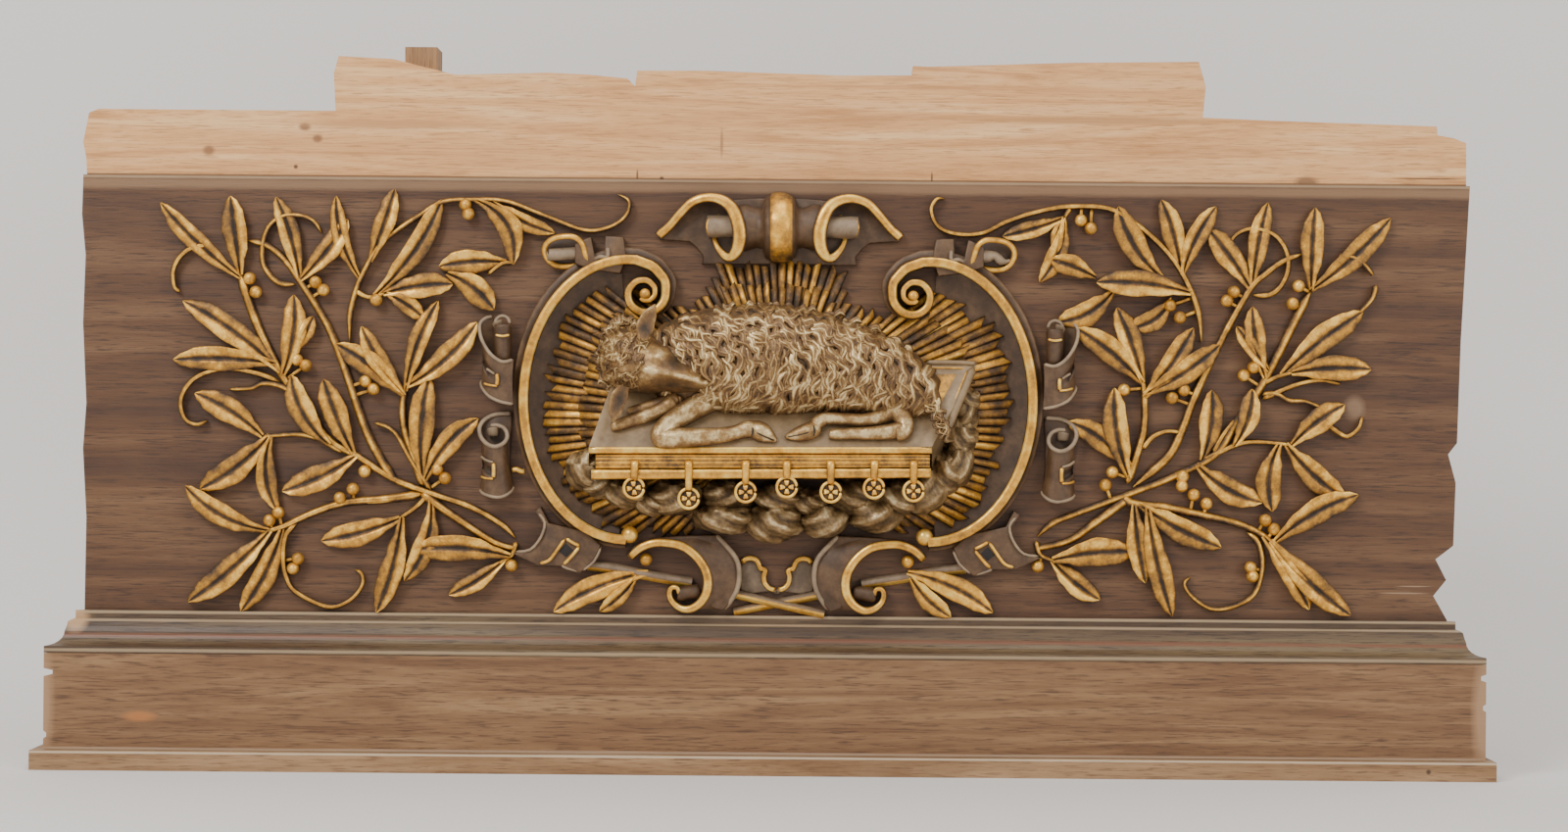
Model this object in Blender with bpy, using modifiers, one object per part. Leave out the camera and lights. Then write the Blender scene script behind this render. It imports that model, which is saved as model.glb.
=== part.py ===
"""Carved cartouche of an altar front, in oak.

A stained panel stands on a base strip, behind a plinth board with a coved
moulding. It carries a glory of rays with a lamb lying on a sealed book over
clouds, in a strapwork frame, with an olive branch on either side. A raw board
is joined on top of the panel, and one post of the carcass is left behind it.

The carving follows a full-size drawing in millimetres. Its sheet has u to the
right and v down, and the centre of the rays is at (SHEET_U, SHEET_V).
"""

import math

import bmesh
import bpy
from mathutils import Vector

MM = 0.001
GAP = 0.0003

# Joinery, in metres
PANEL_LEFT = 0.706
PANEL_RIGHT = 0.684
PANEL_TOP = 0.246
PANEL_T = 0.025
MOULDING_TOP = -0.198
MOULDING_H = 0.0415
PLINTH_H = 0.097
PLINTH_T = 0.022
PLINTH_OUT = 0.033
STRIP_H = 0.0197
STRIP_OUT = 0.0445
STRIP_SHORT = 0.003
UPPER_T = 0.021
UPPER_H = 0.119
POST_W = 0.033
POST_T = 0.045
POST_X = -0.3705
POST_TOP = 0.382

MOULDING_BOTTOM = MOULDING_TOP - MOULDING_H
PLINTH_TOP = MOULDING_BOTTOM - GAP
PLINTH_BOTTOM = PLINTH_TOP - PLINTH_H
STRIP_TOP = PLINTH_BOTTOM - GAP
STRIP_BOTTOM = STRIP_TOP - STRIP_H
PANEL_BOTTOM = PLINTH_BOTTOM
SEAT_Y = -(PANEL_T + GAP)

# The carver's drawing, in millimetres
SHEET_U = 794.0
SHEET_V = 430.0
SHEET_LEAN = 0.0085
# The sheet shows the work as seen from this far, so what stands proud is drawn larger
SIGHT = 3000.0
CARVING_SCALE = 1.0
RELIEF_SCALE = 1.0
RAYS_H = 14.0
LEAF_RISE = 13.0
STEM_RISE = 10.0
STEM_SLACK = 0.6
SUNK = 0.1
BERRY_RISE = 9.0

# The sloping top of the book: height of its front and back edge
BOOK_FRONT_V = 457.0
BOOK_BACK_V = 371.0
BOOK_FRONT_H = 72.0
BOOK_BACK_H = 22.0
GROUP_H = RAYS_H + GAP / MM


def clear_scene():
    for old in list(bpy.data.objects):
        bpy.data.objects.remove(old, do_unlink=True)


def collection(name):
    made = bpy.data.collections.new(name)
    bpy.context.scene.collection.children.link(made)
    return made


def finish_material(name, colour, roughness, metallic=0.0):
    material = bpy.data.materials.new(name)
    material.use_nodes = True
    shader = material.node_tree.nodes["Principled BSDF"]
    shader.inputs["Base Color"].default_value = (*colour, 1.0)
    shader.inputs["Roughness"].default_value = roughness
    shader.inputs["Metallic"].default_value = metallic
    material.diffuse_color = (*colour, 1.0)
    return material


def spot(u, v, h):
    """A point of the drawing, h millimetres proud of the panel, in metres."""
    across = u - SHEET_U
    down = v - SHEET_V
    return frame_spot(1, across + SHEET_LEAN * down, SHEET_LEAN * across - down, h)


def frame_spot(side, x, z, h):
    """A point of the symmetrical strapwork: x outward from the centreline."""
    scale = (1 - h / SIGHT) * CARVING_SCALE * MM
    return Vector((side * x * scale, SEAT_Y - h * RELIEF_SCALE * MM, z * scale))


def loft(bm, rings):
    """A closed solid through rings of points that have the same count."""
    made = [[bm.verts.new(p) for p in ring] for ring in rings]
    for low, high in zip(made, made[1:]):
        for i in range(len(low)):
            j = (i + 1) % len(low)
            bm.faces.new((low[i], low[j], high[j], high[i]))
    bm.faces.new(made[0])
    bm.faces.new(list(reversed(made[-1])))


def smooth(points, steps):
    """Points on a curve through the given ones, steps to each span."""
    ends = [points[0]] + list(points) + [points[-1]]
    path = []
    for a, b, c, d in zip(ends, ends[1:], ends[2:], ends[3:]):
        for k in range(steps):
            t = k / steps
            path.append(tuple(
                0.5 * (2 * q + (r - p) * t + (2 * p - 5 * q + 4 * r - s) * t * t
                       + (3 * q - p - 3 * r + s) * t ** 3)
                for p, q, r, s in zip(a, b, c, d)))
    path.append(tuple(points[-1]))
    return path


def across_path(path):
    """For each point of a flat path: its place along it and its normal."""
    found = []
    for i, here in enumerate(path):
        before = path[max(i - 1, 0)]
        after = path[min(i + 1, len(path) - 1)]
        du, dv = after[0] - before[0], after[1] - before[1]
        size = math.hypot(du, dv) or 1.0
        found.append((i / (len(path) - 1), here, (-dv / size, du / size)))
    return found


def plainer(path, slack):
    """The path without the points that lie within slack of a straight run."""
    if len(path) < 3:
        return list(path)
    (au, av), (bu, bv) = path[0], path[-1]
    size = math.dist(path[0], path[-1]) or 1.0
    off = [abs((bu - au) * (av - v) - (au - u) * (bv - av)) / size for u, v in path]
    worst = max(range(len(path)), key=off.__getitem__)
    if off[worst] <= slack:
        return [path[0], path[-1]]
    return plainer(path[:worst + 1], slack) + plainer(path[worst:], slack)[1:]


def sweep(bm, path, section, place=spot):
    """A rail along a flat path; section(s) gives its (offset, height) points."""
    rings = []
    for s, here, normal in across_path(path):
        rings.append([place(here[0] + normal[0] * off, here[1] + normal[1] * off, h)
                      for off, h in section(s)])
    loft(bm, rings)


def strap(bm, path, width, height, foot=0.0, place=spot):
    """A flat-topped band whose sides spread by foot towards the panel."""
    def section(s):
        half = width / 2
        return [(-half - foot, SUNK), (-half, height), (half, height), (half + foot, SUNK)]
    sweep(bm, path, section, place)


def stem(bm, path, width, rise=STEM_RISE, end=0.6):
    """A rounded twig that thins to its far end."""
    def section(s):
        half = width / 2 * (1 - (1 - end) * s)
        return [(-half, SUNK), (-half, rise * 0.5), (-half * 0.5, rise), (half * 0.5, rise),
                (half, rise * 0.5), (half, SUNK)]
    sweep(bm, plainer(path, STEM_SLACK), section)


# Place along a leaf, its width and its height, as shares
LEAF_SHAPE = ((0.0, 0.24, 0.6), (0.16, 0.45, 0.75), (0.36, 0.78, 0.85), (0.6, 1.0, 0.95),
              (0.8, 0.86, 1.0), (0.93, 0.5, 0.85), (1.0, 0.16, 0.6))


def leaf(bm, base, tip, width, bend=0.0, rise=LEAF_RISE):
    """A hollowed olive leaf with its midrib sunk between two swelling halves."""
    along = Vector((tip[0] - base[0], tip[1] - base[1]))
    normal = Vector((-along.y, along.x)).normalized()
    rings = []
    for s, wide, high in LEAF_SHAPE:
        mid = Vector(base) + along * s + normal * bend * 4 * s * (1 - s)
        half = width / 2 * wide
        top = rise * high
        section = ((-half, SUNK), (-half, top * 0.5), (-half * 0.6, top), (0.0, top * 0.7),
                   (half * 0.6, top), (half, top * 0.5), (half, SUNK))
        rings.append([spot(mid.x + normal.x * off, mid.y + normal.y * off, h)
                      for off, h in section])
    loft(bm, rings)


def ball(bm, centre, radii, around=6, rows=3):
    made = bmesh.ops.create_uvsphere(bm, u_segments=around, v_segments=rows, radius=1.0)
    for vert in made["verts"]:
        vert.co = Vector((c + n * r for c, n, r in zip(centre, vert.co, radii)))


def berry(bm, u, v, r):
    r = r * CARVING_SCALE * MM
    ball(bm, spot(u, v, BERRY_RISE), (r, r, r))


def box(bm, low, high):
    made = bmesh.ops.create_cube(bm, size=1.0)
    for vert in made["verts"]:
        vert.co = Vector(((a + b) / 2 + n * (b - a) for a, b, n in zip(low, high, vert.co)))


def mesh_object(name, bm, where, material=None):
    bmesh.ops.recalc_face_normals(bm, faces=bm.faces)
    mesh = bpy.data.meshes.new(name)
    bm.to_mesh(mesh)
    bm.free()
    made = bpy.data.objects.new(name, mesh)
    where.objects.link(made)
    if material:
        mesh.materials.append(material)
    return made


def cutter(name, bm):
    made = run_together(name, bm, CUTTERS)
    made.hide_render = True
    made.display_type = "WIRE"
    return made


def boolean(piece, other, operation):
    made = piece.modifiers.new(other.name, "BOOLEAN")
    made.solver = "MANIFOLD"
    made.operation = operation
    if isinstance(other, bpy.types.Collection):
        made.operand_type = "COLLECTION"
        made.collection = other
    else:
        made.object = other


def shells_of(bm):
    """The separate closed shells of a bmesh, each as its own bmesh."""
    shell_of = {}
    count = 0
    for seed in bm.verts:
        if seed in shell_of:
            continue
        shell_of[seed] = count
        edge = [seed]
        while edge:
            for link in edge.pop().link_edges:
                for vert in link.verts:
                    if vert not in shell_of:
                        shell_of[vert] = count
                        edge.append(vert)
        count += 1
    made = [bmesh.new() for _ in range(count)]
    copies = {vert: made[k].verts.new(vert.co) for vert, k in shell_of.items()}
    for face in bm.faces:
        made[shell_of[face.verts[0]]].faces.new([copies[vert] for vert in face.verts])
    return made


def run_together(piece_name, bm, where, material=None):
    """One closed solid from the overlapping shells of a bmesh."""
    others = collection(piece_name + "_shells")
    piece = None
    for number, shell in enumerate(shells_of(bm)):
        if piece is None:
            piece = mesh_object(piece_name, shell, where, material)
        else:
            made = mesh_object(f"{piece_name}_shell_{number}", shell, others)
            made.hide_render = True
            made.display_type = "WIRE"
    bm.free()
    if len(others.objects):
        boolean(piece, others, "UNION")
    return piece


def carving(name, bm, seat, material):
    """Shells run together as one carved piece, with a flat back on its seat."""
    piece = run_together(name, bm, PARTS, material)
    boolean(piece, seat, "INTERSECT")
    return piece


def thin_out(piece, share):
    """Drops the slivers that the joining of many shells leaves."""
    made = piece.modifiers.new("thin_out", "DECIMATE")
    made.ratio = share


def melted(name, bm, seat, material, fine, share):
    """Crossing shells melted into one skin of few faces, with a flat back on its seat."""
    piece = mesh_object(name, bm, PARTS, material)
    skin = piece.modifiers.new("skin", "REMESH")
    skin.mode = "VOXEL"
    skin.voxel_size = fine * MM
    thin_out(piece, share)
    boolean(piece, seat, "INTERSECT")
    return piece


def board(name, outline, y_front, y_back, material):
    """A flat board from its outline in the XZ plane, seen from the front."""
    curve = bpy.data.curves.new(name, "CURVE")
    curve.dimensions = "2D"
    curve.fill_mode = "BOTH"
    curve.extrude = (y_back - y_front) / 2
    line = curve.splines.new("POLY")
    line.points.add(len(outline) - 1)
    for point, (x, z) in zip(line.points, outline):
        point.co = (x, z, 0.0, 1.0)
    line.use_cyclic_u = True
    drawn = bpy.data.objects.new(name + "_outline", curve)
    drawn.rotation_euler = (math.pi / 2, 0.0, 0.0)
    drawn.location = (0.0, (y_front + y_back) / 2, 0.0)
    PARTS.objects.link(drawn)
    bpy.context.view_layer.update()
    graph = bpy.context.evaluated_depsgraph_get()
    bm = bmesh.new()
    bm.from_mesh(bpy.data.meshes.new_from_object(drawn.evaluated_get(graph)))
    bm.transform(drawn.matrix_world)
    bmesh.ops.remove_doubles(bm, verts=bm.verts, dist=1e-6)
    bpy.data.objects.remove(drawn, do_unlink=True)
    return mesh_object(name, bm, PARTS, material)


def ragged_side(x, z_low, z_high, chips):
    """A broken board end: chips are (share of the height, depth in mm)."""
    inward = -1.0 if x > 0 else 1.0
    return [(x + inward * depth * MM, z_low + share * (z_high - z_low))
            for share, depth in chips]


def make_panel():
    left = ragged_side(-PANEL_LEFT, PANEL_BOTTOM, PANEL_TOP,
                       ((0.0, 0.0), (0.24, 0.0), (0.40, 1.0), (0.52, -3.0), (0.60, 0.0),
                        (0.74, -4.0), (0.86, -2.0), (0.93, -6.0), (1.0, -5.0)))
    right = ragged_side(PANEL_RIGHT, PANEL_BOTTOM, PANEL_TOP,
                        ((0.0, 0.0), (0.24, 0.0), (0.282, 14.0), (0.31, 1.0), (0.346, 12.0),
                         (0.37, -6.0), (0.48, -8.0), (0.53, 0.0), (0.55, -9.0),
                         (0.73, -12.0), (1.0, -20.0)))
    board("panel", left + right[::-1], -PANEL_T, 0.0, STAINED_OAK)


# The stepped and splintered top of the raw board, as (u, v) of the drawing
RAW_TOP = ((88, 178), (87, 160), (84, 145), (90, 115), (100, 111), (342, 113), (340, 75),
           (345, 57), (400, 60), (464, 76), (560, 74), (600, 76), (640, 80), (648, 88),
           (650, 72), (720, 72), (860, 77), (931, 77), (932, 67), (947, 68), (1094, 64),
           (1224, 63), (1231, 88), (1228, 120), (1294, 123), (1467, 129), (1468, 138),
           (1484, 141), (1497, 146), (1497, 190))


def make_upper_board():
    drawn_height = spot(794, 65, 0).z - spot(794, 184, 0).z
    seam = spot(794, 184, 0).z
    outline = []
    for u, v in RAW_TOP:
        point = spot(u, v, 0)
        x = point.x / CARVING_SCALE * (PANEL_LEFT + PANEL_RIGHT) / 1.390
        outline.append((x, PANEL_TOP + GAP + (point.z - seam) / drawn_height * UPPER_H))
    outline[0] = (outline[0][0], PANEL_TOP + GAP)
    outline[-1] = (outline[-1][0], PANEL_TOP + GAP)
    board("upper_board", outline, -UPPER_T, 0.0, RAW_OAK)


def mitred(name, profile, z_top, material, slack=0.0):
    """A length of moulding across the front, its ends cut on the mitre.

    The profile is (outward from the panel, down from the top) in metres.
    """
    bm = bmesh.new()
    rings = []
    for side, half in ((-1, PANEL_LEFT), (1, PANEL_RIGHT)):
        rings.append([Vector((side * (half + out), -PANEL_T - GAP * slack - out, z_top - down))
                      for out, down in profile])
    loft(bm, rings)
    return mesh_object(name, bm, PARTS, material)


def make_moulding():
    shares = [(0.22, 0.0), (0.22, 0.19), (0.32, 0.22), (0.41, 0.27), (0.44, 0.38), (0.49, 0.5)]
    for k in range(1, 6):
        turn = k / 6 * math.pi / 2
        shares.append((0.49 + 0.49 * (1 - math.cos(turn)), 0.5 + 0.33 * math.sin(turn)))
    shares += [(1.0, 0.84), (1.0, 1.0)]
    front = [(out * PLINTH_OUT, down * MOULDING_H) for out, down in shares]
    mitred("plinth_moulding", [(0.0, 0.0)] + front + [(0.0, MOULDING_H)],
           MOULDING_TOP, STAINED_OAK, slack=1.0)


def make_plinth_board():
    back = PLINTH_OUT - PLINTH_T
    profile = [(PLINTH_OUT, 0.0), (PLINTH_OUT, PLINTH_H), (back, PLINTH_H), (back, 0.0)]
    piece = mitred("plinth_board", profile, PLINTH_TOP, STAINED_OAK)
    notches = bmesh.new()
    for side, half, share, deep in ((-1, PANEL_LEFT, 0.80, 12.0), (1, PANEL_RIGHT, 0.86, 7.0),
                                    (1, PANEL_RIGHT, 0.55, 4.0), (-1, PANEL_LEFT, 0.15, 4.0)):
        end = side * (half + PLINTH_OUT)
        z = PLINTH_BOTTOM + share * PLINTH_H
        reach = Vector((deep * MM, PLINTH_T * 2, 4 * MM))
        centre = Vector((end, -PANEL_T - PLINTH_OUT, z))
        ball(notches, centre, reach)
    boolean(piece, cutter("plinth_notches", notches), "DIFFERENCE")


def make_base_strip():
    bm = bmesh.new()
    box(bm, (-PANEL_LEFT - STRIP_OUT, -PANEL_T - STRIP_OUT, STRIP_BOTTOM),
        (PANEL_RIGHT + STRIP_OUT - STRIP_SHORT, 0.0, STRIP_TOP))
    mesh_object("base_strip", bm, PARTS, RAW_OAK)


def make_post():
    bm = bmesh.new()
    box(bm, (POST_X - POST_W / 2, GAP, STRIP_BOTTOM),
        (POST_X + POST_W / 2, GAP + POST_T, POST_TOP))
    mesh_object("back_post", bm, PARTS, RAW_OAK)


def seat_block(name, h):
    """The space in front of the panel, from height h, between its two edges."""
    bm = bmesh.new()
    box(bm, (-0.76, SEAT_Y - 0.3, MOULDING_TOP + GAP),
        (0.76, SEAT_Y - h * RELIEF_SCALE * MM, PANEL_TOP - GAP))
    return cutter(name, bm)


# How far the rays reach, as (angle in degrees, millimetres from their centre)
REACH = ((-39, 180), (-35, 190), (-28, 218), (-13, 230), (9, 243), (23, 241), (31, 226),
         (40, 210), (45, 156), (52, 146), (59, 145), (65, 155), (68, 172), (80, 166),
         (90, 164), (100, 166), (112, 175), (115, 158), (121, 149), (128, 150), (133, 158),
         (139, 205), (146, 235), (153, 244), (172, 241), (187, 241), (199, 230), (207, 216),
         (214, 189), (226, 148))
RAY_PITCH = 17.0
RAY_INNER = 105.0


def reach_at(angle):
    for (a, near), (b, far) in zip(REACH, REACH[1:]):
        if a <= angle <= b:
            return near + (far - near) * (angle - a) / (b - a)
    return REACH[-1][1]


def ray_spot(angle, radius, off, h):
    turn = math.radians(angle)
    u = SHEET_U + 1 + radius * math.cos(turn) - off * math.sin(turn)
    v = SHEET_V - radius * math.sin(turn) - off * math.cos(turn)
    return spot(u, v, h)


def ray(bm, angle, inner, outer, width, low, high):
    rings = []
    for radius, wide in ((inner, 0.55), (outer - width * 0.4, 1.0)):
        half = width / 2 * wide
        rings.append([ray_spot(angle, radius, off, h) for off, h in
                      ((-half, low), (-half * 0.8, high), (half * 0.8, high), (half, low))])
    loft(bm, rings)


def make_rays(clearance):
    bm = bmesh.new()
    plate = []
    angle = REACH[0][0]
    count = 0
    while angle < REACH[-1][0]:
        outer = reach_at(angle)
        plate.append((angle, outer - 9))
        ray(bm, angle, RAY_INNER, outer - 4 * (count % 2), RAY_PITCH * 0.72, 1.0, RAYS_H - 4)
        if count % 2:
            ray(bm, angle + 1.6, RAY_INNER, outer * 0.86, RAY_PITCH * 0.66, 2.0, RAYS_H - 0.6)
        angle += math.degrees(RAY_PITCH / outer)
        count += 1
    for reach, low, high in ((1000.0, -3.0, 4.0), (118.0, -4.0, RAYS_H)):
        rings = []
        for h in (low, high):
            ring = [ray_spot(a, min(r, reach), 0, h) for a, r in plate[::2]]
            ring += [ray_spot(a, 100, 0, h) for a in (248, 270, 292)]
            rings.append(ring)
        loft(bm, rings)
    piece = carving("glory_rays", bm, PANEL_SEAT, GOLD)
    boolean(piece, clearance, "DIFFERENCE")
    thin_out(piece, 0.8)


# Cloud puffs as (u, v, half width, half height, height above the panel)
PUFFS = ((598, 484, 24, 24, 40), (637, 502, 27, 20, 42), (683, 506, 32, 24, 46),
         (740, 514, 36, 27, 50), (793, 528, 30, 26, 46), (846, 522, 28, 24, 48),
         (894, 518, 30, 24, 48), (938, 500, 30, 27, 46), (968, 478, 24, 26, 40),
         (984, 446, 17, 24, 32), (988, 414, 13, 20, 28), (780, 492, 60, 22, 40))


def make_clouds(cut_by):
    bm = bmesh.new()
    for u, v, wide, tall, high in PUFFS:
        size = (wide * CARVING_SCALE * MM, (high - GROUP_H) * RELIEF_SCALE * MM,
                tall * CARVING_SCALE * MM)
        ball(bm, spot(u, v, GROUP_H), size, around=10, rows=6)
    piece = melted("clouds", bm, GROUP_SEAT, SILVER, 2.0, 0.008)
    for other in cut_by:
        boolean(piece, other, "DIFFERENCE")


def plane_h(v):
    """Height of the book's sloping cover at v of the drawing."""
    slope = (BOOK_FRONT_H - BOOK_BACK_H) / (BOOK_FRONT_V - BOOK_BACK_V)
    return BOOK_FRONT_H - (BOOK_FRONT_V - v) * slope


# Corners of the book as seen, with True where the corner is at its front
BOOK = ((603, 457, True), (604, 488, True), (950, 482, True), (950, 457, True),
        (995, 371, False), (632, 371, False))


def book_block(bm, grow):
    centre = (800.0, 430.0)
    rings = []
    for top in (False, True):
        ring = []
        for u, v, front in BOOK:
            h = (BOOK_FRONT_H if front else BOOK_BACK_H) + grow if top else GROUP_H - 3
            ring.append(spot(u + math.copysign(grow, u - centre[0]),
                             v + math.copysign(grow, v - centre[1]), h))
        rings.append(ring)
    loft(bm, rings)


SEALS = ((646.6, 499), (702.3, 508.6), (760.4, 502.4), (802.8, 497.6), (847.7, 502),
         (891.7, 498), (932.4, 501))
SEAL_R = 11.5
SEAL_FRONT = BOOK_FRONT_H - 2.0
SEAL_T = 7.0


def make_book():
    bm = bmesh.new()
    book_block(bm, 0.0)
    for k, (u, v) in enumerate(SEALS):
        top = BOOK_FRONT_V + 12
        rings = [[spot(u + du, w, h) for du, h in ((-3.5, 60), (-3.5, front), (3.5, front), (3.5, 60))]
                 for w, front in ((top, BOOK_FRONT_H + 3), (v - SEAL_R * 0.5, SEAL_FRONT + 1.5))]
        loft(bm, rings)
        rings = []
        for h in (SEAL_FRONT - SEAL_T, SEAL_FRONT):
            rings.append([spot(u + SEAL_R * math.cos(a), v + SEAL_R * math.sin(a), h)
                          for a in (2 * math.pi * i / 12 + 0.1 for i in range(12))])
        loft(bm, rings)
    piece = carving("book_with_seals", bm, GROUP_SEAT, GOLD)
    pages = bmesh.new()
    rings = []
    for u in (590.0, 965.0):
        rings.append([spot(u, v, h) for v, h in
                      ((BOOK_FRONT_V + 7, 68.5), (BOOK_FRONT_V + 7, 90),
                       (BOOK_FRONT_V + 10.5, 90), (BOOK_FRONT_V + 10.5, 68.5))])
    loft(pages, rings)
    boolean(piece, cutter("book_page_groove", pages), "DIFFERENCE")


# Stations of the lamb: u, top v, bottom v, height, and for its head u, v, half width, height
BODY = ((664, 344, 384, 52), (676, 328, 400, 64), (696, 320, 412, 76), (726, 316, 424, 86),
        (760, 313, 428, 91), (800, 312, 426, 93), (840, 319, 424, 92), (876, 331, 424, 90),
        (906, 341, 426, 84), (932, 353, 430, 74), (946, 368, 424, 68), (957, 386, 420, 60))
HEAD = ((612, 368, 10, 54), (620, 366, 23, 66), (634, 366, 29, 80), (650, 367, 28, 88),
        (664, 372, 23, 92), (682, 381, 15, 92), (702, 388, 12, 91), (718, 391, 10, 88),
        (728, 391, 6, 84))
LOCK_DEPTH = 3.4


def body_rings(stations, sides, base_h, lock):
    """Oval sections across u, with waving locks raised by lock."""
    rings = []
    for i, (u, top, bottom, high) in enumerate(stations):
        centre_v, half = (top + bottom) / 2, (bottom - top) / 2
        centre_h = (base_h + high) / 2
        ring = []
        for k in range(sides):
            a = 2 * math.pi * k / sides
            swell = lock * math.sin(1.9 * i + 2.2 * k) if 0 < i < len(stations) - 1 else 0.0
            ring.append(spot(u, centre_v - (half + swell * 0.3) * math.cos(a),
                             centre_h + (high - centre_h + swell) * math.sin(a)))
        rings.append(ring)
    return rings


def limb(bm, path, sides=7):
    """A leg or tail through (u, v, height, radius) points."""
    rings = []
    for (s, here, normal) in across_path(path):
        u, v, h, r = here
        rings.append([spot(u + normal[0] * r * math.cos(a), v + normal[1] * r * math.cos(a),
                           h + r * math.sin(a))
                      for a in (2 * math.pi * k / sides for k in range(sides))])
    loft(bm, rings)


def on_cover(u, v, r):
    """A limb's point that lies on the book's cover."""
    return (u, v, plane_h(v) + r * 0.8, r)


def ear(bm, base, tip, width, h):
    along = Vector((tip[0] - base[0], tip[1] - base[1]))
    normal = Vector((-along.y, along.x)).normalized()
    rings = []
    for s, wide in ((0.0, 0.6), (0.4, 1.0), (0.75, 0.7), (1.0, 0.12)):
        mid = Vector(base) + along * s
        half = width / 2 * wide
        rings.append([spot(mid.x + normal.x * off, mid.y + normal.y * off, h + up)
                      for off, up in ((-half, 0), (0, 5), (half, 0), (0, -6))])
    loft(bm, rings)


def make_lamb(book_clearance):
    bm = bmesh.new()
    loft(bm, body_rings(smooth(BODY, 2), 12, GROUP_H - 20, LOCK_DEPTH))
    head = [(u, v - half, v + half, high) for u, v, half, high in HEAD]
    loft(bm, body_rings(head, 10, 34, 1.6))
    neck = smooth(((640, 366, 60, 24), (668, 356, 56, 27), (700, 352, 52, 28)), 2)
    limb(bm, neck, 8)
    ear(bm, (656, 346), (669, 309), 19, 76)
    ear(bm, (632, 390), (626, 432), 18, 66)
    limb(bm, [(718, 408, 62, 14), (698, 421, 66, 12), on_cover(677, 443, 11),
              on_cover(684, 448, 10)])
    limb(bm, [on_cover(674, 444, 9), on_cover(700, 446, 9), on_cover(735, 443, 7.5),
              on_cover(758, 438, 8), on_cover(770, 440, 9), on_cover(791, 449, 4)])
    limb(bm, [(690, 408, 60, 9), on_cover(664, 424, 7.5), on_cover(640, 431, 7),
              on_cover(624, 435, 5)])
    limb(bm, [(902, 405, 66, 14), on_cover(921, 420, 12), on_cover(924, 438, 9)])
    limb(bm, [on_cover(927, 440, 8), on_cover(900, 438, 8), on_cover(868, 437, 7.5),
              on_cover(842, 434, 6.5), on_cover(828, 439, 8.5), on_cover(804, 449, 3.5)])
    limb(bm, [(940, 385, 46, 13), (952, 412, 62, 11), (958, 436, 74, 9), (963, 452, 78, 5)])
    piece = melted("lamb", bm, GROUP_SEAT, SILVER, 1.8, 0.010)
    boolean(piece, book_clearance, "DIFFERENCE")


# The C-scroll: an ellipse that runs over into a volute at its inner top end
C_CENTRE = (154.0, 21.0)
C_RADII = (106.0, 143.0)
C_WIDTH = 10.0
C_RISE = 26.0
VOLUTE_CENTRE = (137.0, 129.0)
VOLUTE = ((90, 30.5), (135, 25), (180, 21), (225, 20), (270, 19), (315, 18), (360, 17),
          (405, 15.5), (450, 14))
ROLLS = ((286.0, 105.0, 17.0, 16.0), (288.0, -8.0, -80.0, 16.0))


def c_path(grow=0.0):
    path = []
    for k in range(17):
        a = math.radians(-90 + k * 11.5)
        path.append((C_CENTRE[0] + (C_RADII[0] + grow) * math.cos(a),
                     C_CENTRE[1] + (C_RADII[1] + grow) * math.sin(a)))
    for degrees, radius in VOLUTE[1:]:
        a = math.radians(degrees)
        path.append((VOLUTE_CENTRE[0] + radius * math.cos(a),
                     VOLUTE_CENTRE[1] + radius * math.sin(a)))
    return path


def cylinder(bm, side, x, z_low, z_high, r, sides=10, h=0.0):
    rings = []
    for z in (z_low, z_high):
        rings.append([frame_spot(side, x + r * math.cos(a), z, h + r * math.sin(a))
                      for a in (2 * math.pi * k / sides for k in range(sides))])
    loft(bm, rings)


def flat(bm, side, outline, height, low=-3.0):
    loft(bm, [[frame_spot(side, x, z, h) for x, z in outline] for h in (low, height)])


def disc(bm, side, x, z, r, height, sides=10):
    flat(bm, side, [(x + r * math.cos(2 * math.pi * k / sides), z + r * math.sin(2 * math.pi * k / sides))
                    for k in range(sides)], height)


def make_scroll(name, side):
    place = lambda x, z, h: frame_spot(side, x, z, h)
    bm = bmesh.new()
    strap(bm, c_path(), C_WIDTH, C_RISE, foot=2.5, place=place)
    disc(bm, side, 151.5, -116.5, 8.0, C_RISE + 1)
    disc(bm, side, *VOLUTE_CENTRE, 9.0, C_RISE + 8)
    for x, top, bottom, r in ROLLS:
        cylinder(bm, side, x, bottom, top, r, h=4.0)
        cylinder(bm, side, x - 3, bottom + 10, top + 6, r * 0.45, h=r * 0.9)
        flat(bm, side, ((250, bottom + 2), (300, bottom + 2), (300, top - 24), (250, top - 24)), 7.0)
    flat(bm, side, ((167, 158), (211, 150), (211, 186), (199, 187), (196, 170), (182, 172),
                    (179, 188), (167, 187)), 20.0)
    flat(bm, side, ((205, 152), (238, 162), (242, 176), (232, 186), (205, 186)), 12.0)
    cylinder_across(bm, side, 208, 239, 170, 6.5, 14.0)
    flat(bm, side, ((246, -91), (227, -104), (196, -112), (176, -124), (189, -147), (207, -156),
                    (238, -152), (266, -138), (252, -117)), 19.0)
    piece = carving(name, bm, PANEL_SEAT, GOLD)
    holes = bmesh.new()
    for x, top, bottom, r in ROLLS:
        cylinder(holes, side, x, top - 14, top + 3, r * 0.74, h=5.0)
        cylinder(holes, side, x + r * 1.3, bottom + 17, bottom + 33, r * 0.9, h=16.0)
    loft(holes, [[frame_spot(side, x, z, h) for x, z in ((209, -127), (221, -127), (221, -140), (209, -140))]
                 for h in (7.0, 30.0)])
    boolean(piece, cutter(name + "_holes", holes), "DIFFERENCE")


def cylinder_across(bm, side, x_low, x_high, z, r, h, sides=8):
    rings = []
    for x in (x_low, x_high):
        rings.append([frame_spot(side, x, z + r * math.cos(a), h + r * math.sin(a))
                      for a in (2 * math.pi * k / sides for k in range(sides))])
    loft(bm, rings)


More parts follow.
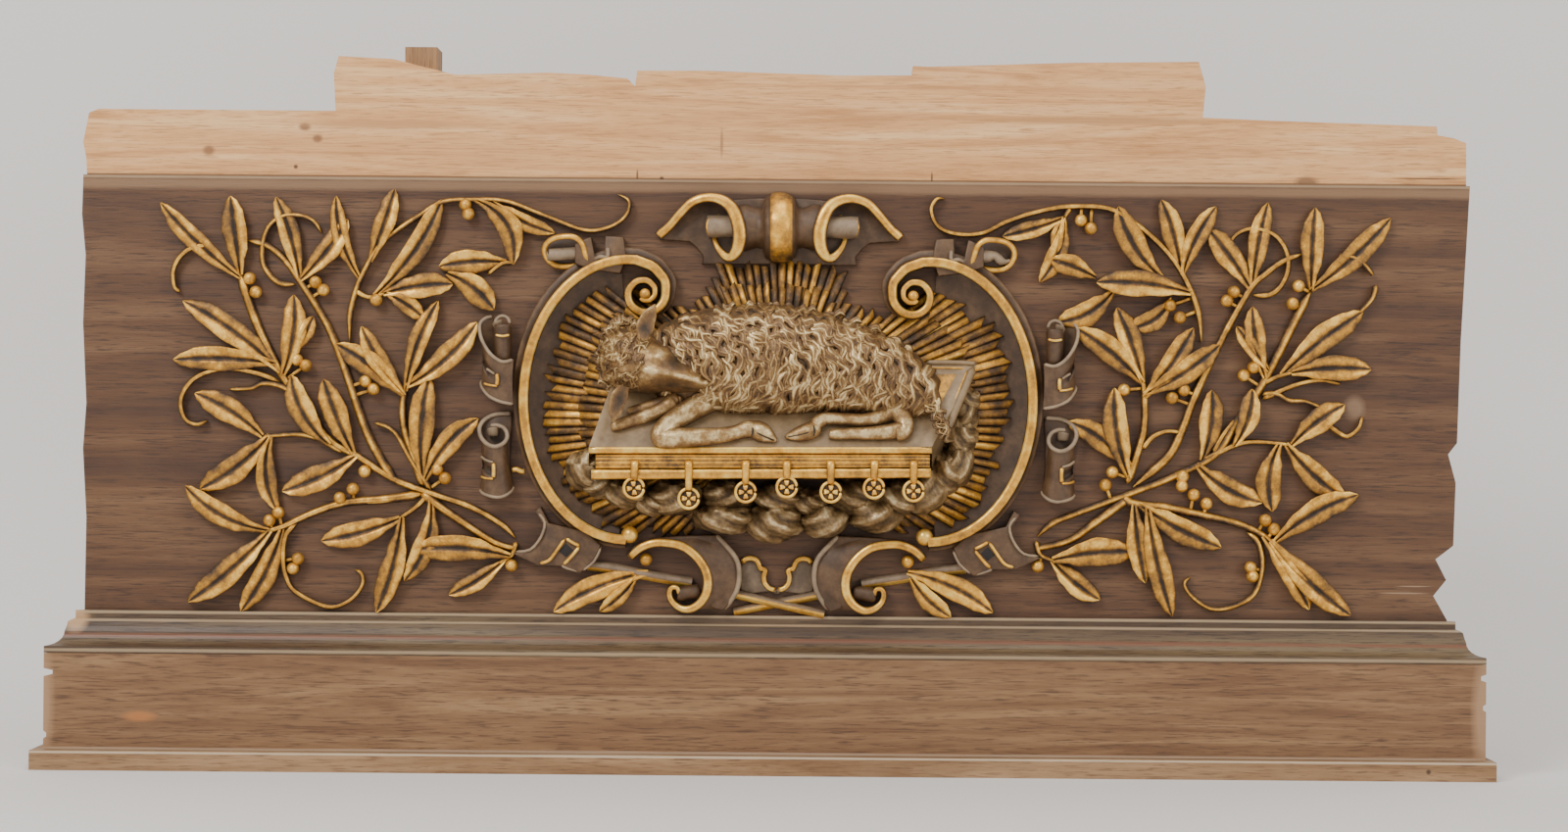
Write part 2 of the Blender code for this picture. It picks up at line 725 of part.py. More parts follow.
def rays_clearance():
    """The room that volutes, crest and foot take from the rays beneath them."""
    bm = bmesh.new()
    for side in (-1, 1):
        disc(bm, side, *VOLUTE_CENTRE, 33.0, 60.0, sides=16)
        disc(bm, side, 151.5, -116.5, 10.5, 60.0)
        flat(bm, side, ((158, -134), (128, -117), (98, -109), (50, -110), (50, -140)), 61.0)
    flat(bm, 1, ((-130, 159), (130, 159), (130, 240), (-130, 240)), 62.0)
    return cutter("rays_clearance", bm)


CREST_AXIS_Z = 198.0
# The turned spool of the crest: x from its centre, radius
SPOOL = ((-41, 24), (-36, 25), (-24, 20), (-17, 23), (-16, 32), (-12, 32), (-11, 34), (-6, 36.5),
         (6, 36.5), (11, 34), (12, 32), (16, 32), (17, 23), (24, 20), (36, 25), (41, 24))
CREST_ARM = ((122, 188), (112, 204), (97, 221), (76, 230), (52, 231))


def make_crest():
    bm = bmesh.new()
    sides = 14
    loft(bm, [[frame_spot(1, 1.5 + x, CREST_AXIS_Z + r * math.cos(a), 4 + r * math.sin(a))
               for a in (2 * math.pi * k / sides for k in range(sides))] for x, r in SPOOL])
    for side in (-1, 1):
        strap(bm, smooth(CREST_ARM, 2), 8.0, 24.0, place=lambda x, z, h: frame_spot(side, x, z, h))
        flat(bm, side, ((-4, 163), (73, 163), (79, 169), (84, 180), (93, 187), (121, 187),
                        (110, 207), (95, 222), (75, 231), (-4, 229)), 12.0)
        cylinder_across(bm, side, 31, 44, CREST_AXIS_Z, 32, 2.0, sides=14)
        cylinder_across(bm, side, 40, 69, CREST_AXIS_Z, 12, 14.0)
    piece = carving("crest", bm, PANEL_SEAT, GOLD)
    holes = bmesh.new()
    for side in (-1, 1):
        flat(holes, side, ((46, 224), (46, 214), (72, 214), (88, 205), (97, 206), (88, 217), (72, 225)),
             40.0, low=6.0)
    boolean(piece, cutter("crest_hollows", holes), "DIFFERENCE")


FOOT_BAND = ((152, -140), (134, -128), (109, -125), (91, -133), (77, -148), (71, -167),
             (75, -185), (88, -194), (101, -191), (112, -180), (111, -171))
FOOT_RIM = ((64, -115), (48, -134), (39, -150), (39, -170), (48, -188), (56, -195))
OMEGA = ((47, -142), (38, -141), (28, -139), (19, -145), (11, -151), (11, -162), (4, -169), (-3, -170))
FOOT_STEM = ((196, -144), (131, -156), (66, -166))
CROSS_STEM = ((52, -173), (0, -188), (-46, -199))


def make_foot(clearance):
    bm = bmesh.new()
    for side in (-1, 1):
        place = lambda x, z, h: frame_spot(side, x, z, h)
        strap(bm, smooth(FOOT_BAND, 2), 6.0, 26.0, foot=1.0, place=place)
        flat(bm, side, ((150, -137), (128, -121), (98, -115), (64, -116), *FOOT_RIM[1:],
                        (78, -192), (72, -167), (78, -148), (91, -134), (109, -127), (134, -130)),
             20.0)
        cylinder_across(bm, side, 72, 98, -175, 8.0, 14.0)
        strap(bm, smooth(OMEGA, 2), 5.4, 11.0 + 0.4 * side, place=place)
        berry_at = frame_spot(side, 133, -148.5, 10)
        ball(bm, berry_at, (0.0065 * CARVING_SCALE,) * 3)

        def twig(s, side=side):
            half = 5.0
            return ((-half, -3.0), (-half * 0.7, 9.0), (half * 0.7, 9.0), (half, -3.0))
        sweep(bm, FOOT_STEM, twig, place)
        sweep(bm, CROSS_STEM, lambda s: ((-5, -3), (-3.6, 10 + 3 * side), (3.6, 10 + 3 * side), (5, -3)), place)
    leaf(bm, (654, 585), (567, 623), 25, bend=6)
    leaf(bm, (652, 586), (614, 624), 16, bend=-3)
    leaf(bm, (930, 588), (969, 629), 20, bend=4)
    leaf(bm, (928, 586), (1012, 624), 25, bend=-6)
    piece = melted("foot_scrolls", bm, PANEL_SEAT, GOLD, 1.2, 0.0065)
    boolean(piece, clearance, "DIFFERENCE")


# Leaves of the two branches: base u, v; tip u, v; width; bend
LEFT_LEAVES = (
    (246, 284, 164, 207, 21, -4), (247, 280, 235, 200, 26, 0), (284, 380, 187, 307, 27, 5),
    (276, 374, 177, 367, 26, 3), (292, 381, 300, 301, 26, 5), (303, 358, 320, 323, 17, 0),
    (336, 453, 297, 383, 27, -8), (268, 445, 199, 401, 27, 4), (275, 445, 204, 499, 28, -5),
    (277, 446, 283, 521, 22, 9), (361, 469, 288, 501, 28, -4), (362, 461, 330, 387, 26, -2),
    (274, 541, 189, 496, 24, -9), (276, 541, 192, 614, 27, -4), (289, 538, 246, 624, 25, -5),
    (404, 527, 328, 552, 27, -3), (411, 529, 384, 625, 25, -4), (438, 513, 413, 593, 24, -9),
    (433, 486, 438, 385, 28, -5), (438, 487, 488, 427, 25, -7), (520, 566, 420, 561, 28, 5),
    (516, 572, 458, 607, 20, -3), (365, 284, 343, 200, 18, -7), (372, 264, 403, 193, 22, 1),
    (382, 299, 451, 204, 25, 7), (391, 297, 462, 290, 26, -3), (397, 301, 433, 325, 19, -2),
    (486, 212, 524, 270, 26, -15), (516, 264, 448, 272, 26, 3), (456, 279, 504, 316, 28, -5),
    (500, 210, 566, 238, 18, 4), (411, 404, 343, 351, 26, 4), (412, 402, 369, 333, 22, -4),
    (415, 399, 447, 307, 21, -5), (418, 395, 487, 329, 26, 6), (313, 282, 282, 201, 22, 3),
    (314, 280, 355, 224, 24, 3))
LEFT_STEMS = (
    ((244, 276), (250, 296), (262, 330), (274, 356), (290, 386), (312, 418), (338, 450), (366, 466),
     (400, 488), (436, 502), (480, 517), (512, 535), (526, 549)),
    ((406, 494), (392, 474), (374, 440), (356, 388), (344, 354), (330, 324), (306, 286),
     (290, 264), (272, 250), (252, 245)),
    ((432, 496), (424, 472), (413, 438), (411, 412), (416, 388)),
    ((432, 504), (396, 509), (352, 513), (318, 524), (290, 537), (268, 543)),
    ((430, 503), (446, 515), (480, 538), (506, 554), (528, 560)),
    ((357, 350), (357, 325), (360, 308), (368, 284), (386, 252), (404, 236), (428, 220), (452, 206),
     (487, 204), (518, 206), (558, 221), (596, 235), (622, 232), (639, 220), (642, 205), (630, 198)),
    ((440, 500), (420, 470), (402, 440), (382, 431)), ((420, 506), (396, 511), (372, 513)),
    ((350, 462), (326, 448), (306, 443), (284, 444), (268, 445)),
    ((302, 290), (284, 288), (270, 272), (268, 252), (274, 232), (288, 221), (306, 220), (320, 226),
     (328, 238)),
    ((212, 250), (196, 253), (184, 262), (177, 276), (178, 292), (184, 298)),
    ((286, 390), (262, 381), (229, 376), (199, 386), (185, 406), (188, 426), (200, 433), (212, 429)),
    ((299, 400), (284, 393), (268, 391), (256, 396), (234, 397)),
    ((304, 533), (292, 546), (289, 568), (292, 588), (302, 604), (334, 619), (356, 613), (369, 598),
     (369, 586), (362, 581)),
    ((436, 506), (424, 518), (408, 529)), ((527, 553), (522, 567), (508, 575)),
    ((362, 296), (376, 303), (394, 299)), ((523, 250), (524, 266), (512, 269), (498, 280)))
LEFT_BERRIES = ((255, 284), (261, 298), (322, 288), (330, 296), (303, 367), (312, 373), (372, 481),
                (347, 508), (360, 499), (275, 531), (284, 523), (299, 580), (304, 570), (446, 479),
                (454, 488), (522, 577), (475, 209), (478, 218), (384, 306), (373, 389), (381, 397))

RIGHT_LEAVES = (
    (1340, 294, 1419, 223, 25, 4), (1337, 292, 1342, 212, 25, -1), (1306, 377, 1391, 318, 28, -3),
    (1318, 380, 1399, 377, 27, -3), (1289, 385, 1278, 313, 22, -3), (1282, 372, 1262, 333, 17, 0),
    (1258, 452, 1278, 397, 23, 5), (1273, 287, 1294, 207, 22, -2), (1270, 291, 1233, 234, 26, 2),
    (1215, 273, 1185, 204, 24, 3), (1215, 276, 1241, 211, 22, -4), (1186, 284, 1141, 211, 28, -7),
    (1118, 283, 1072, 265, 23, 2), (1204, 303, 1119, 288, 28, 4), (1136, 297, 1080, 329, 27, -7),
    (1196, 305, 1153, 335, 23, -7), (1166, 390, 1140, 314, 25, 2), (1160, 392, 1098, 335, 27, 4),
    (1174, 405, 1218, 335, 25, 3), (1180, 401, 1245, 352, 25, 4), (1147, 486, 1137, 396, 27, -5),
    (1225, 466, 1237, 398, 25, 4), (1141, 474, 1090, 430, 25, 6), (1221, 474, 1288, 513, 27, 6),
    (1161, 523, 1246, 559, 27, 3), (1156, 526, 1169, 595, 24, 2), (1169, 532, 1196, 629, 25, 3),
    (1074, 571, 1158, 563, 30, -3), (1072, 575, 1122, 612, 24, 3), (1312, 456, 1371, 508, 27, 4),
    (1305, 461, 1298, 522, 27, 7), (1320, 453, 1372, 413, 26, -3), (1306, 549, 1386, 505, 27, -6),
    (1289, 547, 1336, 622, 24, -4), (1297, 551, 1378, 628, 27, 4), (1082, 220, 1023, 241, 19, -2),
    (1082, 222, 1061, 288, 21, -7), (1087, 222, 1078, 258, 14, 3))
RIGHT_STEMS = (
    ((1338, 296), (1326, 318), (1313, 344), (1288, 392), (1262, 430), (1240, 464), (1198, 486),
     (1160, 501), (1106, 521), (1074, 534), (1058, 548)),
    ((1156, 497), (1190, 468), (1204, 444), (1216, 412), (1232, 376), (1252, 336), (1276, 294),
     (1292, 279), (1310, 266), (1330, 259)),
    ((1150, 494), (1158, 470), (1167, 440), (1168, 408), (1166, 386)),
    ((1146, 506), (1156, 514), (1190, 518), (1224, 525), (1258, 533), (1280, 541), (1300, 554)),
    ((1152, 508), (1114, 536), (1090, 552), (1056, 560)),
    ((1226, 350), (1223, 320), (1213, 292), (1198, 266), (1179, 245), (1158, 228), (1131, 213),
     (1090, 211), (1056, 217), (1026, 227), (1003, 238), (976, 239), (957, 231), (950, 214),
     (956, 203), (964, 203)),
    ((1166, 458), (1176, 446), (1190, 440), (1204, 441)),
    ((1226, 470), (1264, 453), (1288, 451), (1318, 454)), ((1238, 462), (1248, 444), (1260, 428)),
    ((1278, 301), (1294, 301), (1306, 293), (1314, 276), (1313, 258), (1304, 243), (1290, 235),
     (1273, 234), (1260, 241), (1256, 249)),
    ((1366, 262), (1378, 262), (1391, 269), (1401, 281)), ((1404, 291), (1400, 305), (1386, 320)),
    ((1288, 407), (1306, 399), (1324, 392), (1346, 388), (1368, 392)),
    ((1288, 403), (1302, 402), (1316, 409), (1332, 410), (1348, 416)),
    ((1352, 430), (1364, 440), (1375, 445), (1386, 437), (1390, 425)),
    ((1272, 543), (1284, 554), (1288, 578), (1280, 606), (1258, 619), (1236, 621), (1217, 609),
     (1209, 596), (1215, 589)),
    ((1057, 552), (1062, 567), (1080, 574)), ((1290, 391), (1304, 384), (1320, 380)),
    ((1092, 212), (1086, 222)))
RIGHT_BERRIES = ((1325, 292), (1319, 310), (1269, 383), (1279, 375), (1259, 298), (1252, 307),
                 (1194, 312), (1204, 324), (1196, 406), (1208, 398), (1147, 398), (1135, 482),
                 (1128, 495), (1207, 486), (1206, 496), (1218, 505), (1231, 514), (1059, 578),
                 (1291, 531), (1300, 540), (1276, 579), (1278, 588), (1103, 225), (1113, 233))
STEM_WIDTH = 9.0
BERRY_R = 7.0
TENDRIL_WIDTH = 6.5


SPRING_REACH = 17.0


def nearest_on(stems, u, v):
    """The nearest point to (u, v) on the centre of any twig."""
    best = None
    for path in stems:
        for (au, av), (bu, bv) in zip(path, path[1:]):
            du, dv = bu - au, bv - av
            t = ((u - au) * du + (v - av) * dv) / (du * du + dv * dv)
            t = min(max(t, 0.0), 1.0)
            found = (au + du * t, av + dv * t)
            away = math.dist(found, (u, v))
            if best is None or away < best[0]:
                best = (away, found)
    return best


def make_branch(name, leaves, stems, berries, clearance):
    bm = bmesh.new()
    for k, path in enumerate(stems):
        width = STEM_WIDTH if k < 5 else TENDRIL_WIDTH
        stem(bm, path, width, rise=STEM_RISE + 0.37 * (k % 7) - 1)
    for k, (bu, bv, tu, tv, width, bend) in enumerate(leaves):
        away, spring = nearest_on(stems, bu, bv)
        base = spring if away < SPRING_REACH else (bu, bv)
        leaf(bm, base, (tu, tv), width, bend, rise=LEAF_RISE + 0.83 * (k % 7) - 2)
    for k, (u, v) in enumerate(berries):
        berry(bm, u, v, BERRY_R)
        away, spring = nearest_on(stems, u, v)
        if away > BERRY_R:
            stem(bm, [(u, v), spring], TENDRIL_WIDTH * 0.7, rise=STEM_RISE * 0.8 - 0.23 * (k % 5))
    piece = melted(name, bm, PANEL_SEAT, GOLD, 1.4, 0.00665)
    boolean(piece, clearance, "DIFFERENCE")


def strapwork_clearance():
    """The room round rolls and clasps that branches and foot must leave."""
    bm = bmesh.new()
    for side in (-1, 1):
        flat(bm, side, ((166, 150), (243, 150), (243, 188), (232, 188.5), (166, 189)), 60.0)
        for x, top, bottom, r in ROLLS:
            flat(bm, side, ((x - r - 9, bottom - 1), (x + r + 1, bottom - 1),
                            (x + r + 1, top + 7), (x - r - 9, top + 7)), 61.0)
        flat(bm, side, ((246, -89), (200, -100), (174, -124), (187, -149), (207, -158),
                        (238, -154), (268, -139), (253, -115)), 62.0)
    return cutter("strapwork_clearance", bm)


clear_scene()
PARTS = collection("carved_cartouche")
CUTTERS = collection("cutters")
STAINED_OAK = finish_material("stained_oak", (0.10, 0.055, 0.035), 0.5)
RAW_OAK = finish_material("raw_oak", (0.45, 0.29, 0.17), 0.75)
GOLD = finish_material("gilded_wood", (0.55, 0.36, 0.12), 0.4, 0.6)
SILVER = finish_material("silvered_wood", (0.35, 0.31, 0.26), 0.4, 0.6)
PANEL_SEAT = seat_block("panel_seat", 0.0)
GROUP_SEAT = seat_block("group_seat", GROUP_H)

make_base_strip()
make_post()
make_panel()
make_upper_board()
make_moulding()
make_plinth_board()

book_room = bmesh.new()
book_block(book_room, GAP / MM)
BOOK_ROOM = cutter("book_room", book_room)
STRAPWORK_ROOM = strapwork_clearance()

make_rays(rays_clearance())
make_clouds([BOOK_ROOM])
make_book()
make_lamb(BOOK_ROOM)
make_scroll("scroll_frame_left", -1)
make_scroll("scroll_frame_right", 1)
make_crest()
make_foot(STRAPWORK_ROOM)
make_branch("branch_left", LEFT_LEAVES, LEFT_STEMS, LEFT_BERRIES, STRAPWORK_ROOM)
make_branch("branch_right", RIGHT_LEAVES, RIGHT_STEMS, RIGHT_BERRIES, STRAPWORK_ROOM)
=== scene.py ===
"""Carved cartouche of an altar front: oak boards with gilded and silvered carving."""
import math

import bmesh
import bpy
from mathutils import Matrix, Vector, noise


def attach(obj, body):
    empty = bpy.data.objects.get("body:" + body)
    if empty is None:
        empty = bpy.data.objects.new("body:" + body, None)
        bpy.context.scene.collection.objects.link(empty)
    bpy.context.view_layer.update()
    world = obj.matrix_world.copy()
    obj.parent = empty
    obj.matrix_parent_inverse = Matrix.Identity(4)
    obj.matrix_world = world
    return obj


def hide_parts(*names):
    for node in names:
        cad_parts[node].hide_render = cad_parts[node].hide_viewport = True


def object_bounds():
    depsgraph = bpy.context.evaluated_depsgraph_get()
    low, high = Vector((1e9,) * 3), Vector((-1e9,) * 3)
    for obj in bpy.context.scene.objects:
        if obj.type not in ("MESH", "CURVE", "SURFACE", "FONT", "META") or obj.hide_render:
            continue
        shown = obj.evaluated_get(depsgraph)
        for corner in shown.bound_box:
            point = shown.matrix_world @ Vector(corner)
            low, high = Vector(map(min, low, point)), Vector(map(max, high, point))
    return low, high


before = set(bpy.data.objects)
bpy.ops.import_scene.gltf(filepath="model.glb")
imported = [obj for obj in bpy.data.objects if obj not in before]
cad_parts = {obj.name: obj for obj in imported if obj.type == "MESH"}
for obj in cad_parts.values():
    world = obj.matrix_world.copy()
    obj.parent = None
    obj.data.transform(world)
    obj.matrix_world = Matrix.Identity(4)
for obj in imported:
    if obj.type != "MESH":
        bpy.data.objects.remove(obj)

cad_low, cad_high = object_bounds()

# The camera stands 3 m in front of the panel's face, as the photographer's did, and
# leans a little, because the picture does. Wall and floor are one pale grey sweep.
LEAN = 0.0085
camera = bpy.data.objects.new("camera", bpy.data.cameras.new("camera"))
bpy.context.collection.objects.link(camera)
camera.data.lens = 67.5
camera.data.sensor_width = 36.0
camera.location = (0.006, -3.025, 0.0055)
camera.rotation_euler = (math.pi / 2, -LEAN, 0.0)
bpy.context.scene.camera = camera


def linear(colour):
    """An sRGB hex colour as linear red, green, blue and alpha."""
    parts = [int(colour[i:i + 2], 16) / 255 for i in (1, 3, 5)]
    return tuple(p / 12.92 if p <= 0.04045 else ((p + 0.055) / 1.055) ** 2.4 for p in parts) + (1.0,)


def add(tree, kind, joins=None, stops=None, **settings):
    """A shader node with its settings; joins gives inputs a value or (node, output)."""
    node = tree.nodes.new("ShaderNode" + kind)
    for name, value in settings.items():
        setattr(node, name, value)
    for name, value in (joins or {}).items():
        if isinstance(value, tuple) and isinstance(value[0], bpy.types.Node):
            tree.links.new(value[0].outputs[value[1]], node.inputs[name])
        else:
            node.inputs[name].default_value = value
    if stops:
        ramp = node.color_ramp
        while len(ramp.elements) < len(stops):
            ramp.elements.new(0.5)
        for element, (place, colour) in zip(ramp.elements, stops):
            element.position = place
            element.color = linear(colour)
    return node


def material(name, **shader):
    """A new material, its node tree and its shader with values set on the sockets."""
    made = bpy.data.materials.new(name)
    made.use_nodes = True
    tree = made.node_tree
    bsdf = tree.nodes["Principled BSDF"]
    for key, value in shader.items():
        bsdf.inputs[key.replace("_", " ")].default_value = value
    return made, tree, bsdf


paper, tree, bsdf = material("grey_background_paper", Roughness=0.9)
bsdf.inputs["Base Color"].default_value = linear("#E8E4E0")
SWEEP_HALF, FLOOR_FRONT, FLOOR_BACK, BEND_RADIUS, WALL_RISE = 4.5, -4.0, 0.2, 0.5, 9.0
FLOOR_SHARE, BEND_SHARE = 0.45, 0.2
sweep = bmesh.new()
bmesh.ops.create_grid(sweep, x_segments=2, y_segments=40, size=1.0)
for vert in sweep.verts:
    run = (vert.co.y + 1) / 2
    turn = min(max((run - FLOOR_SHARE) / BEND_SHARE, 0.0), 1.0) * math.pi / 2
    forward = FLOOR_FRONT + min(run / FLOOR_SHARE, 1.0) * (FLOOR_BACK - FLOOR_FRONT)
    wall = max(run - FLOOR_SHARE - BEND_SHARE, 0.0) * WALL_RISE
    vert.co = Vector((vert.co.x * SWEEP_HALF, forward + BEND_RADIUS * math.sin(turn),
                      cad_low[2] + BEND_RADIUS * (1 - math.cos(turn)) + wall))
for face in sweep.faces:
    face.smooth = True
mesh = bpy.data.meshes.new("studio_sweep")
sweep.to_mesh(mesh)
sweep.free()
mesh.materials.append(paper)
studio = bpy.data.objects.new("studio_sweep", mesh)
bpy.context.collection.objects.link(studio)

# Disc lights: name, place and size in metres, turn, power in watts
for name, place, turn, size, watts in (
        ("key_light", (-1.7, -2.6, 2.1), (0.90, 0.0, -0.58), 1.3, 70.0),
        ("fill_light", (2.3, -2.4, 0.9), (1.22, 0.0, 0.78), 1.6, 24.0),
        ("top_light", (0.2, -1.0, 2.6), (0.36, 0.0, 0.0), 1.8, 22.0)):
    light = bpy.data.objects.new(name, bpy.data.lights.new(name, "AREA"))
    light.data.shape = "DISK"
    light.data.size = size
    light.data.energy = watts
    light.location = place
    light.rotation_euler = turn
    bpy.context.collection.objects.link(light)
world = bpy.data.worlds.new("soft_room")
world.use_nodes = True
world.node_tree.nodes["Background"].inputs["Color"].default_value = linear("#F2F0EE")
world.node_tree.nodes["Background"].inputs["Strength"].default_value = 0.78
bpy.context.scene.world = world


# The carcass boards are quarter-sawn and plain oak, joined edge to edge. Panel, moulding
# and plinth are stained red-brown and waxed; the board above and the post were left raw.
def oak(name, tones, pore, upright=False, worn="#8F7358", roughness=0.5, figure=0.0, bands=(),
        strokes=None, marks=()):
    """Oak: pores are dashes of 1.5 by 25 mm along X, or along Z in a post.

    tones are the dark, middle and light wood, pore the colour in its open grain. bands
    are (height, half height, colour) of lines across the boards: worn arrises, a reddish
    stripe, a dark joint and painted highlights along lit arrises; strokes the slope and colour
    of brush marks, and marks are (x, z, half across, half up, colour) of knots, nail holes
    and stains, all in metres from the centre of the panel.
    """
    made, tree, bsdf = material(name, Roughness=roughness, IOR=1.5)
    place = add(tree, "TexCoord")
    # Turns of the pattern to a metre along the grain and across it, for pores and figure
    fine, coarse = ((640.0, 420.0, 38.0), (38.0, 26.0, 2.0)) if upright else (
        (38.0, 420.0, 640.0), (2.0, 26.0, 38.0))
    turned = add(tree, "Mapping", {"Vector": (place, "Object"), "Scale": fine})
    dashes = add(tree, "TexNoise", {"Vector": (turned, "Vector"), "Scale": 1.0, "Detail": 3.0,
                                    "Roughness": 0.6})
    broad = add(tree, "Mapping", {"Vector": (place, "Object"), "Scale": coarse})
    streaks = add(tree, "TexNoise", {"Vector": (broad, "Vector"), "Scale": 1.0, "Detail": 8.0,
                                     "Roughness": 0.68, "Distortion": 0.4 + figure})
    wood = add(tree, "ValToRGB", {"Fac": (streaks, "Fac")},
               stops=((0.34, tones[0]), (0.5, tones[1]), (0.66, tones[2])))
    open_grain = add(tree, "ValToRGB", {"Fac": (dashes, "Fac")},
                     stops=((0.34, "#E8E8E8"), (0.48, "#000000")))
    blotch = add(tree, "TexNoise", {"Vector": (place, "Object"), "Scale": 7.0, "Detail": 5.0,
                                    "Roughness": 0.65})
    patch = add(tree, "ValToRGB", {"Fac": (blotch, "Fac")},
                stops=((0.42, "#000000"), (0.75, "#8C8C8C")))
    coats = [((open_grain, "Color"), pore), ((patch, "Color"), worn)]
    if strokes:
        slope, colour = strokes
        leaned = add(tree, "Mapping", {"Vector": (place, "Object"), "Rotation": (0.0, slope, 0.0),
                                       "Scale": (9.0, 20.0, 130.0)})
        brushed = add(tree, "TexNoise", {"Vector": (leaned, "Vector"), "Scale": 1.0, "Detail": 4.0,
                                         "Roughness": 0.7, "Distortion": 0.3})
        shade = add(tree, "ValToRGB", {"Fac": (brushed, "Fac")},
                    stops=((0.5, "#000000"), (0.7, "#A0A0A0")))
        coats.append(((shade, "Color"), colour))
    axes = add(tree, "SeparateXYZ", {0: (place, "Object")})
    # A band is a line across the boards at a height: worn arrises, a stripe, a joint, and painted
    # highlights along the moulding's and the strip's lit arrises
    for height, half, colour in bands:
        away = add(tree, "Math", {0: (axes, "Z"), 1: height}, operation="SUBTRACT")
        away = add(tree, "Math", {0: (away, "Value")}, operation="ABSOLUTE")
        ragged = add(tree, "Math", {0: (blotch, "Fac"), 1: half, 2: (away, "Value")},
                     operation="MULTIPLY_ADD")
        near = add(tree, "MapRange", {"Value": (ragged, "Value"), 1: half * 0.9, 2: half * 1.7,
                                      3: 0.8, 4: 0.0})
        coats.append(((near, "Result"), colour))
    for x, z, across, up, colour in marks:
        moved = add(tree, "Mapping", {"Vector": (place, "Object"),
                                      "Location": (-x / across, 0.0, -z / up),
                                      "Scale": (1 / across, 0.0, 1 / up)})
        away = add(tree, "VectorMath", {0: (moved, "Vector")}, operation="LENGTH")
        near = add(tree, "MapRange", {"Value": (away, "Value"), 1: 0.6, 2: 1.3, 3: 0.85, 4: 0.0})
        coats.append(((near, "Result"), colour))
    # Sockets 6 and 7 of a colour Mix are its two colours, and output 2 is the result
    surface = (wood, "Color")
    for factor, colour in coats:
        mixed = add(tree, "Mix", {"Factor": factor, 6: surface, 7: linear(colour)},
                    data_type="RGBA")
        surface = (mixed, 2)
    lift = add(tree, "Bump", {"Height": (dashes, "Fac"), "Strength": 0.35, "Distance": 0.0008})
    tree.links.new(mixed.outputs[2], bsdf.inputs["Base Color"])
    tree.links.new(lift.outputs["Normal"], bsdf.inputs["Normal"])
    return made


# Stain and wax: dark red-brown with a soft sheen, paler along the worn top arris
stained = oak("stained_waxed_oak", ("#452A19", "#5C3C23", "#745336"), "#331F14", worn="#735233",
              roughness=0.5, bands=((0.238, 0.006, "#8C6B4C"), (0.2445, 0.0016, "#A88A68")),
              marks=((-0.632, -0.206, 0.0016, 0.0016, "#D8CCB8"),
                     (-0.515, -0.2, 0.0014, 0.0014, "#D8CCB8"),
                     (0.276, 0.0205, 0.026, 0.0007, "#2E1C14"),
                     (0.300, -0.0535, 0.030, 0.0006, "#2E1C14"),
                     (0.640, -0.17, 0.022, 0.0007, "#A08468"),
                     (0.650, -0.163, 0.016, 0.0006, "#A08468"),
                     (0.588, 0.018, 0.010, 0.012, "#8A6C50")))
# The same stain, thinner and streaked by the brush, rubbed pale at the foot and ends
plinth_oak = oak("stained_oak_plinth", ("#6A482C", "#835F3E", "#9B7852"), "#4C3422", worn="#93714C",
                 figure=1.2, strokes=(0.42, "#5F4028"), bands=((-0.336, 0.002, "#B4977A"),),
                 marks=((-0.642, -0.303, 0.016, 0.005, "#B0703C"),
                        (-0.742, -0.29, 0.012, 0.06, "#A98562"),
                        (0.716, -0.29, 0.012, 0.06, "#A98562")))
# Darker and a little shinier; each arris of the moulding carries a pale painted highlight where the top
# light catches its rounded edge
moulding_oak = oak("stained_oak_moulding", ("#3F2C1D", "#58432F", "#746044"), "#32241A",
                   worn="#6C573C", roughness=0.42,
                   bands=((-0.1995, 0.0016, "#B39A78"), (-0.2075, 0.0013, "#B49C7E"),
                          (-0.2225, 0.0022, "#7A4A30"), (-0.2365, 0.0018, "#A89070")),
                   marks=((-0.712, -0.207, 0.012, 0.012, "#C29A70"),))
# Sawn and never finished: pale, dull and figured, with knots, nail holes and splits
raw = oak("raw_sawn_oak", ("#C08550", "#DDA368", "#EEBF86"), "#B27E4C", worn="#E8B884", roughness=0.72,
          figure=1.6, bands=((0.2468, 0.0012, "#6B4A30"),),
          marks=((-0.486, 0.297, 0.006, 0.004, "#7A5234"), (-0.473, 0.285, 0.005, 0.004, "#84593A"),
                 (-0.584, 0.272, 0.006, 0.005, "#8A5E3C"), (-0.495, 0.256, 0.0022, 0.0022, "#3A2618"),
                 (-0.121, 0.247, 0.0022, 0.0022, "#3A2618"), (0.538, 0.2485, 0.012, 0.006, "#7E5A3C"),
                 (-0.060, 0.284, 0.0016, 0.014, "#A6784E"), (-0.146, 0.250, 0.001, 0.006, "#5A3C26"),
                 (0.155, 0.250, 0.001, 0.006, "#5A3C26"), (0.664, 0.2535, 0.036, 0.0009, "#6B4A30"),
                 (0.32, 0.31, 0.12, 0.004, "#B98654"), (-0.40, 0.30, 0.09, 0.005, "#C48E5A")))
# Scuffed and pale, with a painted highlight along its lit top edge
strip_oak = oak("worn_strip_oak", ("#74502F", "#93704C", "#B08C66"), "#64452C", worn="#BEA07A",
                roughness=0.62, bands=((-0.3385, 0.0012, "#D2BEA2"),),
                marks=((0.657, -0.347, 0.0025, 0.0025, "#3A281A"),))
# Raw as well, browner with age, its grain upright
post_oak = oak("raw_post_oak", ("#82603E", "#A07A52", "#B8926A"), "#6E5038", upright=True,
               roughness=0.7)
for node, wood in (("panel", stained), ("plinth_board", plinth_oak),
                   ("plinth_moulding", moulding_oak), ("upper_board", raw),
                   ("base_strip", strip_oak), ("back_post", post_oak)):
    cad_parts[node].data.materials.clear()
    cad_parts[node].data.materials.append(wood)


# The olive branches are carved from separate oak blocks and glued on: leaves hollowed
# round a sunk midrib, stems ridged, berries in pairs. All is oil gilded over a dark ground.
# The middle of the carver's drawing, the camera's distance, all in mm, and the face in metres
SHEET_U, SHEET_V, SIGHT, FACE_Y = 794.0, 430.0, 3000.0, -0.0253


def frame_spot(side, x, z, h):
    """A point in metres: x outward from the centreline, z up, h proud of the panel, in mm."""
    scale = (1 - h / SIGHT) * 0.001
    return Vector((side * x * scale, FACE_Y - h * 0.001, z * scale))


